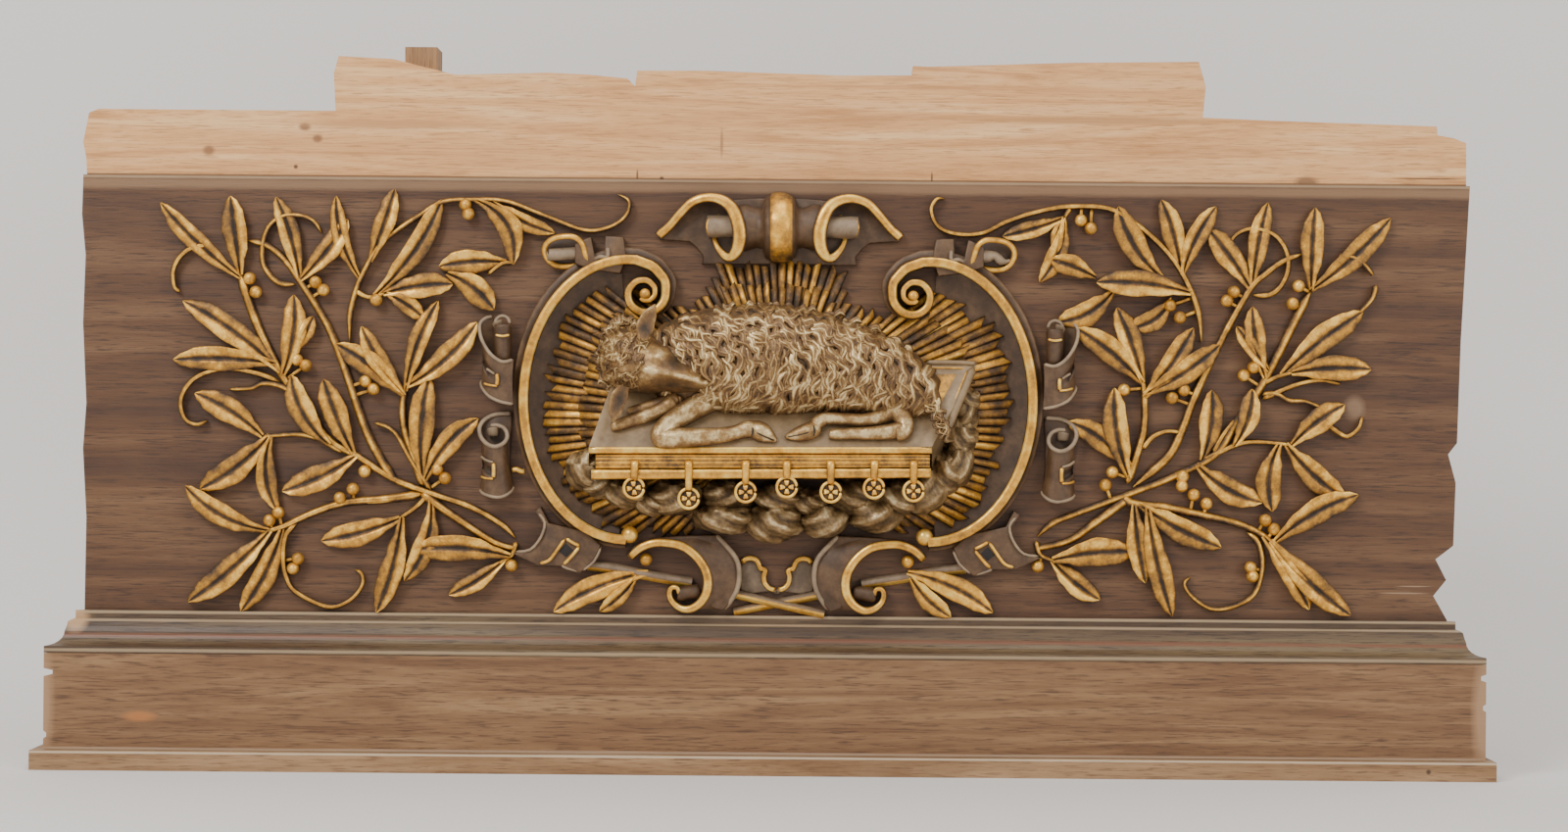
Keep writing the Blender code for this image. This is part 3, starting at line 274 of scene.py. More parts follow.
def spot(u, v, h):
    """A point of the carver's drawing, u to the right and v down, in millimetres."""
    across, down = u - SHEET_U, v - SHEET_V
    return frame_spot(1, across + LEAN * down, LEAN * across - down, h)


def rub_layer(bm):
    """The layer that says how rubbed a vertex is, 0 in a hollow and 1 on a ridge."""
    return bm.verts.layers.float.get("rub") or bm.verts.layers.float.new("rub")


def skin(bm, rows, columns, place, coat=0):
    """A grid laid over a surface: place(s, t) gives a point and how rubbed it is.

    coat numbers one of the piece's materials, or is a function of s and t that does.
    """
    rub = rub_layer(bm)
    made = bmesh.ops.create_grid(bm, x_segments=rows, y_segments=columns, size=0.5)
    if coat:
        for face in {face for vert in made["verts"] for face in vert.link_faces}:
            middle = face.calc_center_median()
            face.material_index = coat(middle.x + 0.5, middle.y + 0.5) if callable(coat) else coat
    for vert in made["verts"]:
        vert.co, vert[rub] = place(vert.co.x + 0.5, vert.co.y + 0.5)
    return made["verts"]


def curve(points, steps):
    """Points on a smooth curve through the given ones, steps to each span."""
    ends = [points[0]] + list(points) + [points[-1]]
    path = []
    for a, b, c, d in zip(ends, ends[1:], ends[2:], ends[3:]):
        for k in range(steps):
            t = k / steps
            path.append(tuple(0.5 * (2 * q + (r - p) * t + (2 * p - 5 * q + 4 * r - s) * t * t
                                     + (3 * q - p - 3 * r + s) * t ** 3)
                              for p, q, r, s in zip(a, b, c, d)))
    path.append(tuple(points[-1]))
    return path


def between(table, s):
    """The value at s of a table of (place, value), eased from row to row."""
    for (a, low), (b, high) in zip(table, table[1:]):
        if s <= b:
            share = (s - a) / (b - a)
            share = share * share * (3 - 2 * share)
            return low + (high - low) * share
    return table[-1][1]


def at(path, s):
    """The point at share s of a path and the direction across it."""
    run = s * (len(path) - 1)
    i = min(int(run), len(path) - 2)
    part = run - i
    here = [p + (q - p) * part for p, q in zip(path[i], path[i + 1])]
    before, after = path[max(i - 1, 0)], path[min(i + 2, len(path) - 1)]
    du, dv = after[0] - before[0], after[1] - before[1]
    size = math.hypot(du, dv) or 1.0
    return here, (-dv / size, du / size)


def rail(bm, path, section, place=spot, coat=0):
    """A length carved along a path; section(s, t) gives offset, height and rub."""
    columns = len(section(0.0))

    def on(s, t):
        here, side = at(path, s)
        off, h, worn = section(s)[round(t * (columns - 1))]
        return place(here[0] + side[0] * off, here[1] + side[1] * off, h), worn
    skin(bm, len(path) - 1, columns - 1, on, coat)


def finish(name, bm, coats, node=None, also=()):
    """Closes seams, turns faces outwards and hands the piece to its CAD node's place."""
    bmesh.ops.remove_doubles(bm, verts=bm.verts, dist=2e-6)
    bmesh.ops.recalc_face_normals(bm, faces=bm.faces)
    for face in bm.faces:
        face.smooth = True
    mesh = bpy.data.meshes.new(name)
    bm.to_mesh(mesh)
    bm.free()
    for coat in coats:
        mesh.materials.append(coat)
    piece = bpy.data.objects.new(name, mesh)
    bpy.context.collection.objects.link(piece)
    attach(piece, "root")
    if node:
        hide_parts(node, *also)
    return piece


def leaf_gilding(name, tones, metal, roughness, speck):
    """Old leaf over a dark ground: bright where hands rubbed the ridges, brown in hollows.

    tones run from the bare ground to the brightest leaf; speck is specks to a metre.
    """
    made, tree, bsdf = material(name, Metallic=metal, Roughness=roughness)
    place = add(tree, "TexCoord")
    rub = add(tree, "Attribute", attribute_name="rub")
    # Patches of 15 mm where the leaf has worn, and specks of 2 mm in it
    patches = add(tree, "TexNoise", {"Vector": (place, "Object"), "Scale": 65.0, "Detail": 6.0,
                                     "Roughness": 0.7})
    specks = add(tree, "TexNoise", {"Vector": (place, "Object"), "Scale": speck, "Detail": 3.0,
                                    "Roughness": 0.7})
    spread = add(tree, "Math", {0: (patches, "Fac"), 1: 1.5}, operation="MULTIPLY")
    lower = add(tree, "Math", {0: (spread, "Value"), 1: 0.8}, operation="SUBTRACT")
    both = add(tree, "Math", {0: (rub, "Fac"), 1: (lower, "Value")}, operation="ADD")
    grit = add(tree, "Math", {0: (specks, "Fac"), 1: 0.3, 2: -0.15}, operation="MULTIPLY_ADD")
    level = add(tree, "Math", {0: (both, "Value"), 1: (grit, "Value")}, operation="ADD",
                use_clamp=True)
    colour = add(tree, "ValToRGB", {"Fac": (level, "Value")}, stops=tones)
    rough = add(tree, "MapRange", {"Value": (level, "Value"), 3: roughness + 0.2,
                                   4: roughness - 0.08})
    shine = add(tree, "MapRange", {"Value": (level, "Value"), 1: 0.15, 2: 0.65, 3: 0.0, 4: metal})
    lift = add(tree, "Bump", {"Height": (specks, "Fac"), "Strength": 0.3, "Distance": 0.0006})
    tree.links.new(colour.outputs["Color"], bsdf.inputs["Base Color"])
    tree.links.new(rough.outputs["Result"], bsdf.inputs["Roughness"])
    tree.links.new(shine.outputs["Result"], bsdf.inputs["Metallic"])
    tree.links.new(lift.outputs["Normal"], bsdf.inputs["Normal"])
    return made


GOLD_TONES = ((0.0, "#291A0B"), (0.25, "#5A3E1C"), (0.45, "#946828"), (0.68, "#CF9436"),
              (0.9, "#FFCC62"))
# Oil gilding is satin and not mirror-bright, and brown where the leaf has gone
gilding = leaf_gilding("oil_gilding_worn", GOLD_TONES, 0.55, 0.42, 420.0)

# Leaves: base u, v; tip u, v; width; bend. Stems and berries: u, v. All in mm
LEFT_LEAVES = (
    (246, 284, 164, 207, 21, -4), (247, 280, 235, 200, 26, 0), (284, 380, 187, 307, 27, 5),
    (276, 374, 177, 367, 26, 3), (292, 381, 300, 301, 26, 5), (303, 358, 320, 323, 17, 0),
    (336, 453, 297, 383, 27, -8), (268, 445, 199, 401, 27, 4), (275, 445, 204, 499, 28, -5),
    (277, 446, 283, 521, 22, 9), (361, 469, 288, 501, 28, -4), (362, 461, 330, 387, 26, -2),
    (274, 541, 189, 496, 24, -9), (276, 541, 192, 614, 27, -4), (289, 538, 246, 624, 25, -5),
    (404, 527, 328, 552, 27, -3), (411, 529, 384, 625, 25, -4), (438, 513, 413, 593, 24, -9),
    (433, 486, 438, 385, 28, -5), (438, 487, 488, 427, 25, -7), (520, 566, 420, 561, 28, 5),
    (516, 572, 458, 607, 20, -3), (365, 284, 343, 200, 18, -7), (372, 264, 403, 193, 22, 1),
    (382, 299, 451, 204, 25, 7), (391, 297, 462, 290, 26, -3), (397, 301, 433, 325, 19, -2),
    (486, 212, 524, 270, 26, -15), (516, 264, 448, 272, 26, 3), (456, 279, 504, 316, 28, -5),
    (500, 210, 566, 238, 18, 4), (411, 404, 343, 351, 26, 4), (412, 402, 369, 333, 22, -4),
    (415, 399, 447, 307, 21, -5), (418, 395, 487, 329, 26, 6), (313, 282, 282, 201, 22, 3),
    (314, 280, 355, 224, 24, 3))
LEFT_STEMS = (
    ((244, 276), (250, 296), (262, 330), (274, 356), (290, 386), (312, 418), (338, 450), (366, 466),
     (400, 488), (436, 502), (480, 517), (512, 535), (526, 549)),
    ((406, 494), (392, 474), (374, 440), (356, 388), (344, 354), (330, 324), (306, 286),
     (290, 264), (272, 250), (252, 245)),
    ((432, 496), (424, 472), (413, 438), (411, 412), (416, 388)),
    ((432, 504), (396, 509), (352, 513), (318, 524), (290, 537), (268, 543)),
    ((430, 503), (446, 515), (480, 538), (506, 554), (528, 560)),
    ((357, 350), (357, 325), (360, 308), (368, 284), (386, 252), (404, 236), (428, 220), (452, 206),
     (487, 204), (518, 206), (558, 221), (596, 235), (622, 232), (639, 220), (642, 205), (630, 198)),
    ((440, 500), (420, 470), (402, 440), (382, 431)), ((420, 506), (396, 511), (372, 513)),
    ((350, 462), (326, 448), (306, 443), (284, 444), (268, 445)),
    ((302, 290), (284, 288), (270, 272), (268, 252), (274, 232), (288, 221), (306, 220), (320, 226),
     (328, 238)),
    ((212, 250), (196, 253), (184, 262), (177, 276), (178, 292), (184, 298)),
    ((286, 390), (262, 381), (229, 376), (199, 386), (185, 406), (188, 426), (200, 433), (212, 429)),
    ((299, 400), (284, 393), (268, 391), (256, 396), (234, 397)),
    ((304, 533), (292, 546), (289, 568), (292, 588), (302, 604), (334, 619), (356, 613), (369, 598),
     (369, 586), (362, 581)),
    ((436, 506), (424, 518), (408, 529)), ((527, 553), (522, 567), (508, 575)),
    ((362, 296), (376, 303), (394, 299)), ((523, 250), (524, 266), (512, 269), (498, 280)))
LEFT_BERRIES = ((255, 284), (261, 298), (322, 288), (330, 296), (303, 367), (312, 373), (372, 481),
                (347, 508), (360, 499), (275, 531), (284, 523), (299, 580), (304, 570), (446, 479),
                (454, 488), (522, 577), (475, 209), (478, 218), (384, 306), (373, 389), (381, 397))
RIGHT_LEAVES = (
    (1340, 294, 1419, 223, 25, 4), (1337, 292, 1342, 212, 25, -1), (1306, 377, 1391, 318, 28, -3),
    (1318, 380, 1399, 377, 27, -3), (1289, 385, 1278, 313, 22, -3), (1282, 372, 1262, 333, 17, 0),
    (1258, 452, 1278, 397, 23, 5), (1273, 287, 1294, 207, 22, -2), (1270, 291, 1233, 234, 26, 2),
    (1215, 273, 1185, 204, 24, 3), (1215, 276, 1241, 211, 22, -4), (1186, 284, 1141, 211, 28, -7),
    (1118, 283, 1072, 265, 23, 2), (1204, 303, 1119, 288, 28, 4), (1136, 297, 1080, 329, 27, -7),
    (1196, 305, 1153, 335, 23, -7), (1166, 390, 1140, 314, 25, 2), (1160, 392, 1098, 335, 27, 4),
    (1174, 405, 1218, 335, 25, 3), (1180, 401, 1245, 352, 25, 4), (1147, 486, 1137, 396, 27, -5),
    (1225, 466, 1237, 398, 25, 4), (1141, 474, 1090, 430, 25, 6), (1221, 474, 1288, 513, 27, 6),
    (1161, 523, 1246, 559, 27, 3), (1156, 526, 1169, 595, 24, 2), (1169, 532, 1196, 629, 25, 3),
    (1074, 571, 1158, 563, 30, -3), (1072, 575, 1122, 612, 24, 3), (1312, 456, 1371, 508, 27, 4),
    (1305, 461, 1298, 522, 27, 7), (1320, 453, 1372, 413, 26, -3), (1306, 549, 1386, 505, 27, -6),
    (1289, 547, 1336, 622, 24, -4), (1297, 551, 1378, 628, 27, 4), (1082, 220, 1023, 241, 19, -2),
    (1082, 222, 1061, 288, 21, -7), (1087, 222, 1078, 258, 14, 3))
RIGHT_STEMS = (
    ((1338, 296), (1326, 318), (1313, 344), (1288, 392), (1262, 430), (1240, 464), (1198, 486),
     (1160, 501), (1106, 521), (1074, 534), (1058, 548)),
    ((1156, 497), (1190, 468), (1204, 444), (1216, 412), (1232, 376), (1252, 336), (1276, 294),
     (1292, 279), (1310, 266), (1330, 259)),
    ((1150, 494), (1158, 470), (1167, 440), (1168, 408), (1166, 386)),
    ((1146, 506), (1156, 514), (1190, 518), (1224, 525), (1258, 533), (1280, 541), (1300, 554)),
    ((1152, 508), (1114, 536), (1090, 552), (1056, 560)),
    ((1226, 350), (1223, 320), (1213, 292), (1198, 266), (1179, 245), (1158, 228), (1131, 213),
     (1090, 211), (1056, 217), (1026, 227), (1003, 238), (976, 239), (957, 231), (950, 214),
     (956, 203), (964, 203)),
    ((1166, 458), (1176, 446), (1190, 440), (1204, 441)),
    ((1226, 470), (1264, 453), (1288, 451), (1318, 454)), ((1238, 462), (1248, 444), (1260, 428)),
    ((1278, 301), (1294, 301), (1306, 293), (1314, 276), (1313, 258), (1304, 243), (1290, 235),
     (1273, 234), (1260, 241), (1256, 249)),
    ((1366, 262), (1378, 262), (1391, 269), (1401, 281)), ((1404, 291), (1400, 305), (1386, 320)),
    ((1288, 407), (1306, 399), (1324, 392), (1346, 388), (1368, 392)),
    ((1288, 403), (1302, 402), (1316, 409), (1332, 410), (1348, 416)),
    ((1352, 430), (1364, 440), (1375, 445), (1386, 437), (1390, 425)),
    ((1272, 543), (1284, 554), (1288, 578), (1280, 606), (1258, 619), (1236, 621), (1217, 609),
     (1209, 596), (1215, 589)),
    ((1057, 552), (1062, 567), (1080, 574)), ((1290, 391), (1304, 384), (1320, 380)),
    ((1092, 212), (1086, 222)))
RIGHT_BERRIES = ((1325, 292), (1319, 310), (1269, 383), (1279, 375), (1259, 298), (1252, 307),
                 (1194, 312), (1204, 324), (1196, 406), (1208, 398), (1147, 398), (1135, 482),
                 (1128, 495), (1207, 486), (1206, 496), (1218, 505), (1231, 514), (1059, 578),
                 (1291, 531), (1300, 540), (1276, 579), (1278, 588), (1103, 225), (1113, 233))
LEAF_OUTLINE = ((0.0, 0.24), (0.14, 0.44), (0.34, 0.86), (0.56, 1.06), (0.78, 0.94), (0.92, 0.56),
                (1.0, 0.07))
LEAF_RISE, LEAF_FACE, STEM_RISE, BERRY_R = 13.0, 0.84, 9.0, 6.4
MAIN_STEMS, MAIN_WIDTH, TENDRIL_WIDTH, STALK_WIDTH = 5, 10.0, 6.8, 4.5


def olive_leaf(bm, base, tip, width, bend, rise, number):
    """A leaf hollowed round its midrib, with thick undercut edges and a wavy face."""
    along = Vector((tip[0] - base[0], tip[1] - base[1]))
    across = Vector((-along.y, along.x)).normalized()
    twist = 2.2 * math.sin(2.3 * number)
    wave = 1.3 + 0.6 * math.sin(1.7 * number)

    def on(s, t):
        a = 2 * t - 1
        wide = width / 2 * between(LEAF_OUTLINE, s)
        rim = min(abs(a) / LEAF_FACE, 1.0) * (1 if a > 0 else -1)
        wall = max(abs(a) - LEAF_FACE, 0.0) / (1 - LEAF_FACE)
        edge = 1 + 0.05 * math.sin(11 * s + number + 3 * (a > 0)) * (0.2 < s < 0.95)
        mid = Vector(base) + along * s + across * bend * 4 * s * (1 - s)
        point = mid + across * (rim * wide * edge * (1 - 0.2 * wall))
        top = rise * (0.62 + 0.38 * math.sin(math.pi * min(s * 0.85 + 0.1, 1.0)))
        crown = math.cos((abs(rim) - 0.52) * 2.3)
        rib = math.exp(-(rim / 0.13) ** 2)
        ripple = math.sin(13 * s + abs(rim) * 4 + number) * wave * 0.4 * abs(rim)
        h = top + 1.6 * crown - 2.9 * rib * min(1.0, 3 * (1 - s)) + twist * rim + ripple
        h = h * (1 - wall) + 0.4 * wall
        shade = 0.62 * crown - 0.55 * rib + 0.10 + 0.12 * twist * rim - 0.5 * wall
        return spot(point.x, point.y, max(h, 0.4)), min(max(shade, 0.0), 1.0)
    skin(bm, 16, 18, on)


def twig(bm, path, width, rise, dark_side, thin=0.62):
    """A stem with a gilt ridge, its flank towards dark_side left brown."""
    def section(s):
        half = width / 2 * (1 - (1 - thin) * s)
        cap = min(1.0, 14 * s + 0.1, 14 * (1 - s) + 0.1)
        shape = ((-1.0, 0.0, 0.05), (-1.05, 0.42, 0.2), (-0.72, 0.86, 0.55), (-0.25, 1.04, 0.85),
                 (0.1, 0.96, 0.7), (0.35, 1.02, 0.8), (0.75, 0.8, 0.5), (1.05, 0.42, 0.2),
                 (1.0, 0.0, 0.05))
        return [(off * half * cap, 0.3 + h * rise * cap ** 0.5,
                 worn * (0.45 if off * dark_side > 0.3 else 1.0)) for off, h, worn in shape]
    rail(bm, curve(path, 5), section)


def fruit(bm, u, v, h, r):
    """A berry, its face rubbed and its back dark."""
    rub = rub_layer(bm)
    made = bmesh.ops.create_uvsphere(bm, u_segments=14, v_segments=9, radius=r * 0.001)
    centre = spot(u, v, h)
    for vert in made["verts"]:
        vert[rub] = 0.62 - 28 * vert.co.y
        vert.co += centre


def nearest(stems, u, v):
    """The nearest point to (u, v) on any stem, and how far it is."""
    best = (99.0, (u, v))
    for path in stems:
        for (au, av), (bu, bv) in zip(path, path[1:]):
            du, dv = bu - au, bv - av
            t = min(max(((u - au) * du + (v - av) * dv) / (du * du + dv * dv), 0.0), 1.0)
            found = (au + du * t, av + dv * t)
            best = min(best, (math.dist(found, (u, v)), found))
    return best


for side, leaves, stems, berries in (("left", LEFT_LEAVES, LEFT_STEMS, LEFT_BERRIES),
                                     ("right", RIGHT_LEAVES, RIGHT_STEMS, RIGHT_BERRIES)):
    inward = 1 if side == "left" else -1
    bm = bmesh.new()
    for k, path in enumerate(stems):
        rightward = 1 if path[-1][1] > path[0][1] else -1
        width = MAIN_WIDTH if k < MAIN_STEMS else TENDRIL_WIDTH
        twig(bm, path, width, STEM_RISE + 0.37 * (k % 7), -inward * rightward)
    for k, (bu, bv, tu, tv, width, bend) in enumerate(leaves):
        away, spring = nearest(stems, bu, bv)
        base = spring if away < 17 else (bu, bv)
        olive_leaf(bm, base, (tu, tv), width, bend, LEAF_RISE + 0.83 * (k % 7) - 3.5, k)
    for k, (u, v) in enumerate(berries):
        fruit(bm, u, v, BERRY_R + 3, BERRY_R)
        away, spring = nearest(stems, u, v)
        if away > BERRY_R:
            twig(bm, [(u, v), spring], STALK_WIDTH, 7.5, 0, thin=1.0)
    finish("olive_branch_" + side, bm, [gilding], "branch_" + side)


# The glory is one block under the group, its rays cut as two layers of split laths.
# Gold and bare brown alternate where the gilding was rubbed or never reached.
# How far the rays reach at each angle, in mm from the glory's middle
REACH = ((-42, 170), (-35, 190), (-28, 218), (-13, 230), (9, 243), (23, 241), (31, 226), (40, 210),
         (45, 156), (52, 146), (59, 145), (65, 155), (68, 172), (80, 166), (90, 164), (100, 166),
         (112, 175), (115, 158), (121, 149), (128, 150), (133, 158), (139, 205), (146, 235),
         (153, 244), (172, 241), (187, 241), (199, 230), (207, 216), (214, 196), (226, 160),
         (238, 132))
GLORY_U, RAY_INNER, RAY_PITCH = SHEET_U + 1, 88, 9.2
BED_INNER, BED_MARGIN = 60, 10
# Two layers of laths: share of the reach, lowest and highest face in mm
RAY_LAYERS = ((1.0, 0.3, 9.6), (0.84, 3.0, 14.0))


def chance(*seed):
    """A fixed value between 0 and 1 that differs from seed to seed."""
    return (math.sin(sum((k + 1) * 12.9898 * value for k, value in enumerate(seed))) * 43758.5453) % 1


def lath(bm, angle, inner, outer, width, low, high, tone):
    """One ray: a split lath with a slanted or pointed end and chiselled arrises."""
    turn = math.radians(angle)
    slant = (chance(angle, 3) - 0.5) * 1.1
    ridge = (chance(angle, 5) - 0.5) * 0.8
    sections = ((-1.0, 0.0, 0.0), (-0.95, 0.75, 0.1), (-0.6, 1.0, 0.75), (ridge, 1.08, 0.95),
                (0.65, 0.93, 0.6), (0.95, 0.7, 0.1), (1.0, 0.0, 0.0))

    def on(s, t):
        off, rise, worn = sections[round(t * 6)]
        end = min(s / 0.75, 1.0)
        reach = inner + (outer - inner) * end - slant * off * width * (end > 0.9)
        wide = width / 2 * (0.8 + 0.2 * end) * (0.72 if s > 0.99 else 1.0)
        radius = reach + (0.6 if s > 0.99 else 0.0)
        drop = 1 - 0.12 * end * chance(angle, 9)
        h = low + (high - low) * rise * drop * (0.0 if s > 0.99 else 1.0)
        u = GLORY_U + radius * math.cos(turn) - off * wide * math.sin(turn)
        v = SHEET_V - radius * math.sin(turn) - off * wide * math.cos(turn)
        return spot(u, v, h), min(max(tone * worn, 0.0), 1.0)
    skin(bm, 4, 6, on)


def bed(s, t):
    """The flat ground under the laths, dropping to the panel at its rim."""
    angle = REACH[0][0] + (REACH[-1][0] - REACH[0][0]) * s
    radius = BED_INNER + (between(REACH, angle) - BED_MARGIN - BED_INNER) * min(t / 0.9, 1.0)
    turn = math.radians(angle)
    return spot(GLORY_U + radius * math.cos(turn), SHEET_V - radius * math.sin(turn),
                3.2 if t < 0.95 else 0.3), 0.0


bm = bmesh.new()
for layer, (share, low, high) in enumerate(RAY_LAYERS):
    angle = REACH[0][0] + 1.5 * layer
    number = 0
    while angle < REACH[-1][0]:
        reach = between(REACH, angle)
        outer = reach * share * (1 - 0.05 * chance(number, layer)) + 3 * layer
        tone = 0.34 + 0.56 * chance(number, layer, 2)
        width = RAY_PITCH * (0.86 + 0.24 * chance(number, layer, 4))
        lath(bm, angle, RAY_INNER, outer, width, low, high * (0.9 + 0.1 * chance(number, 6)), tone)
        angle += math.degrees(RAY_PITCH / reach) * (1.0 + 0.35 * layer * chance(number, 8))
        number += 1
skin(bm, 120, 6, bed)
finish("glory_of_rays", bm, [gilding], "glory_rays")


# Two C-scrolls frame the glory, each cut with its volute, end curl and hollow dark flank.
# Only the raised fillet is gilded; the flanks and the ground inside are umber paint.
def dark_paint(name, tones, roughness=0.5):
    """Umber distemper over oak, rubbed through to a lighter brown on arrises."""
    made, tree, bsdf = material(name, Roughness=roughness, IOR=1.5)
    place = add(tree, "TexCoord")
    rub = add(tree, "Attribute", attribute_name="rub")
    stroke = add(tree, "Mapping", {"Vector": (place, "Object"), "Scale": (60.0, 60.0, 60.0)})
    mottle = add(tree, "TexNoise", {"Vector": (stroke, "Vector"), "Scale": 1.0, "Detail": 6.0,
                                    "Roughness": 0.7})
    shift = add(tree, "Math", {0: (mottle, "Fac"), 1: 0.9, 2: -0.25}, operation="MULTIPLY_ADD")
    worn = add(tree, "Math", {0: (rub, "Fac"), 1: 0.5, 2: (shift, "Value")},
               operation="MULTIPLY_ADD")
    colour = add(tree, "ValToRGB", {"Fac": (worn, "Value")}, stops=tones)
    lift = add(tree, "Bump", {"Height": (mottle, "Fac"), "Strength": 0.35, "Distance": 0.0007})
    tree.links.new(colour.outputs["Color"], bsdf.inputs["Base Color"])
    tree.links.new(lift.outputs["Normal"], bsdf.inputs["Normal"])
    return made


# Distemper is matt and uneven, and lighter where it is rubbed
umber = dark_paint("umber_painted_oak", ((0.05, "#2C1C0F"), (0.35, "#4E3722"), (0.6, "#6E5236"),
                                         (0.9, "#967850")))
# Burnished gilding is smoother and brighter than the leaves'
bright = leaf_gilding("burnished_gilding", ((0.0, "#332110"), (0.2, "#6E4E22"), (0.42, "#B48030"),
                                            (0.65, "#EBAC42"), (0.9, "#FFD66E")), 0.62, 0.36, 300.0)
# The C is half an ellipse; x outward and z up from the middle of the drawing, in mm
C_CENTRE, C_RADII = (154.0, 21.0), (106.0, 143.0)
VOLUTE_CENTRE, CURL_CENTRE, CURL_R, EYE_R = (137.0, 129.0), (150.5, -117.0), 8.6, 5.6
# The volute's radius at each angle
VOLUTE = ((90, 30.5), (135, 25), (180, 21), (225, 20), (270, 19), (315, 18), (360, 17), (405, 15.5),
          (450, 14), (495, 12), (540, 10), (585, 8), (630, 6.5), (675, 5.5))


# How wide the dark flank is along the C
FLANK = ((0.0, 4.5), (0.12, 5.0), (0.26, 8.5), (0.4, 7.5), (0.52, 3.0), (0.62, 1.0), (1.0, 0.8))
GROUND_IN, GROUND_WIDE = 4, 46


def scroll_path():
    """The C from its lower curl round to the middle of the volute, x and z in mm."""
    path = []
    for k in range(33):
        a = math.radians(-90 + k * 5.75)
        path.append([c + r * way for c, r, way in zip(C_CENTRE, C_RADII, (math.cos(a), math.sin(a)))])
    for k in range(1, 61):
        degrees = 90 + k * 9.75
        radius = between(VOLUTE, degrees)
        a = math.radians(degrees)
        path.append([c + radius * way for c, way in zip(VOLUTE_CENTRE, (math.cos(a), math.sin(a)))])
    return path


def fillet(s):
    """The C's section: a rounded gilt fillet, and a hollow umber flank outside it."""
    turn = min(max((s - 0.36) / 0.5, 0.0), 1.0)
    wide, out = 4.5 - 2.4 * turn, between(FLANK, s)
    top = 26.5 + 6.5 * turn
    return ((-wide - out, 0.3, 0.0), (-wide - out, 11.0, 0.6), (-wide - out * 0.8, 12.5, 0.7),
            (-wide - out * 0.45, 13.0, 0.2), (-wide - 0.8, 17.0, 0.2), (-wide - 0.4, top - 2.5, 0.5),
            (-wide, top - 0.8, 0.8), (-wide * 0.5, top - 0.2, 0.6), (wide * 0.4, top, 0.65),
            (wide, top - 1.0, 0.95), (wide + 0.4, top - 3, 0.5), (wide + 0.7, 12.0, 0.2),
            (wide + 1.6, 0.3, 0.0))


def lobe(bm, place, x, z, h, radii, around=14, rows=9, worn=0.7):
    """A rounded knob: radii are across, up and towards the viewer, in mm."""
    rub = rub_layer(bm)
    made = bmesh.ops.create_uvsphere(bm, u_segments=around, v_segments=rows, radius=1.0)
    for vert in made["verts"]:
        ball = vert.co.copy()
        vert.co = place(x + ball.x * radii[0], z + ball.z * radii[1], h - ball.y * radii[2])
        vert[rub] = worn * (0.55 - 0.45 * ball.y)


def gilt_fillet(s, t):
    """Gold on the fillet and umber on either side of it."""
    return 0 if 0.4 < t < 0.84 else 1


for side, name in ((-1, "left"), (1, "right")):
    def here(x, z, h):
        return frame_spot(side, x, z, h)

    def ground(s, t):
        a = math.radians(-86 + 172 * s)
        away = GROUND_IN + GROUND_WIDE * t
        x = C_CENTRE[0] + (C_RADII[0] - away) * math.cos(a)
        z = C_CENTRE[1] + (C_RADII[1] - away) * math.sin(a)
        return here(x, z, 0.6 + 5.5 * (1 - t) ** 2), 0.35

    bm = bmesh.new()
    rail(bm, scroll_path(), fillet, place=here, coat=gilt_fillet)
    lobe(bm, here, *VOLUTE_CENTRE, 31.0, (EYE_R, EYE_R, 4.5))
    lobe(bm, here, *CURL_CENTRE, 20.0, (CURL_R, CURL_R, CURL_R), around=24, rows=16, worn=1.0)
    skin(bm, 60, 8, ground, coat=1)
    finish("c_scroll_" + name, bm, [bright, umber])


# Rolled straps, dowels and clasps hold the frame to the panel: plain umber work with
# gilt edges, each curl cut as a thin sheet. The right-hand top dowel has snapped off ragged.
def twin(side):
    """Placing for the strapwork, drawn on the left half and mirrored for side 1."""
    def place(u, v, h):
        across, down = SHEET_U - u, v - SHEET_V
        return frame_spot(side, across - LEAN * down, -LEAN * across - down, h)
    return place


def cord(bm, place, path, r=2.0, worn=0.7, coat=0, steps=4, sides=8, lift=1.0):
    """A round bead through points (u, v, h) or (u, v, h, radius), closed at both ends."""
    line = curve(path, steps)

    def on(s, t):
        here, side = at(line, s)
        size = (here[3] if len(here) > 3 else r) * (0.0 if s < 1e-6 or s > 1 - 1e-6 else 1.0)
        turn = 2 * math.pi * t
        return place(here[0] + side[0] * size * math.cos(turn),
                     here[1] + side[1] * size * math.cos(turn),
                     here[2] + size * lift * math.sin(turn)), worn * (0.5 + 0.5 * math.sin(turn))
    skin(bm, len(line) - 1, sides, on, coat)


def beads(bm, place, table, **settings):
    """Round beads from a table of (radius, how rubbed, material, path)."""
    for r, worn, coat, path in table:
        cord(bm, place, path, r, worn, coat, **settings)


# Across a strap: offset in half widths, drop below its face in mm, how rubbed
STRAP = ((-1.35, 99.0, 0.0), (-1.3, 6.0, 0.3), (-1.12, 1.6, 0.4), (-0.8, 0.1, 0.85), (0.0, -0.5, 0.6),
         (0.8, 0.1, 0.85), (1.12, 1.6, 0.4), (1.3, 6.0, 0.3), (1.35, 99.0, 0.0))


def gilt_face(s, t):
    """Gold on a strap's face and umber on its flanks."""
    return 0 if 0.25 < t < 0.75 else 1


def strap(bm, place, band, steps=4):
    """A gilt-faced strap through points (u, v, height, half width), its flanks umber."""
    line = curve(band, steps)

    def on(s, t):
        here, side = at(line, s)
        off, drop, worn = STRAP[round(t * 8)]
        h = 0.3 if s < 1e-6 or s > 1 - 1e-6 else max(here[2] - drop, 0.3)
        return place(here[0] + side[0] * off * here[3], here[1] + side[1] * off * here[3], h), worn
    skin(bm, len(line) - 1, len(STRAP) - 1, on, gilt_face)


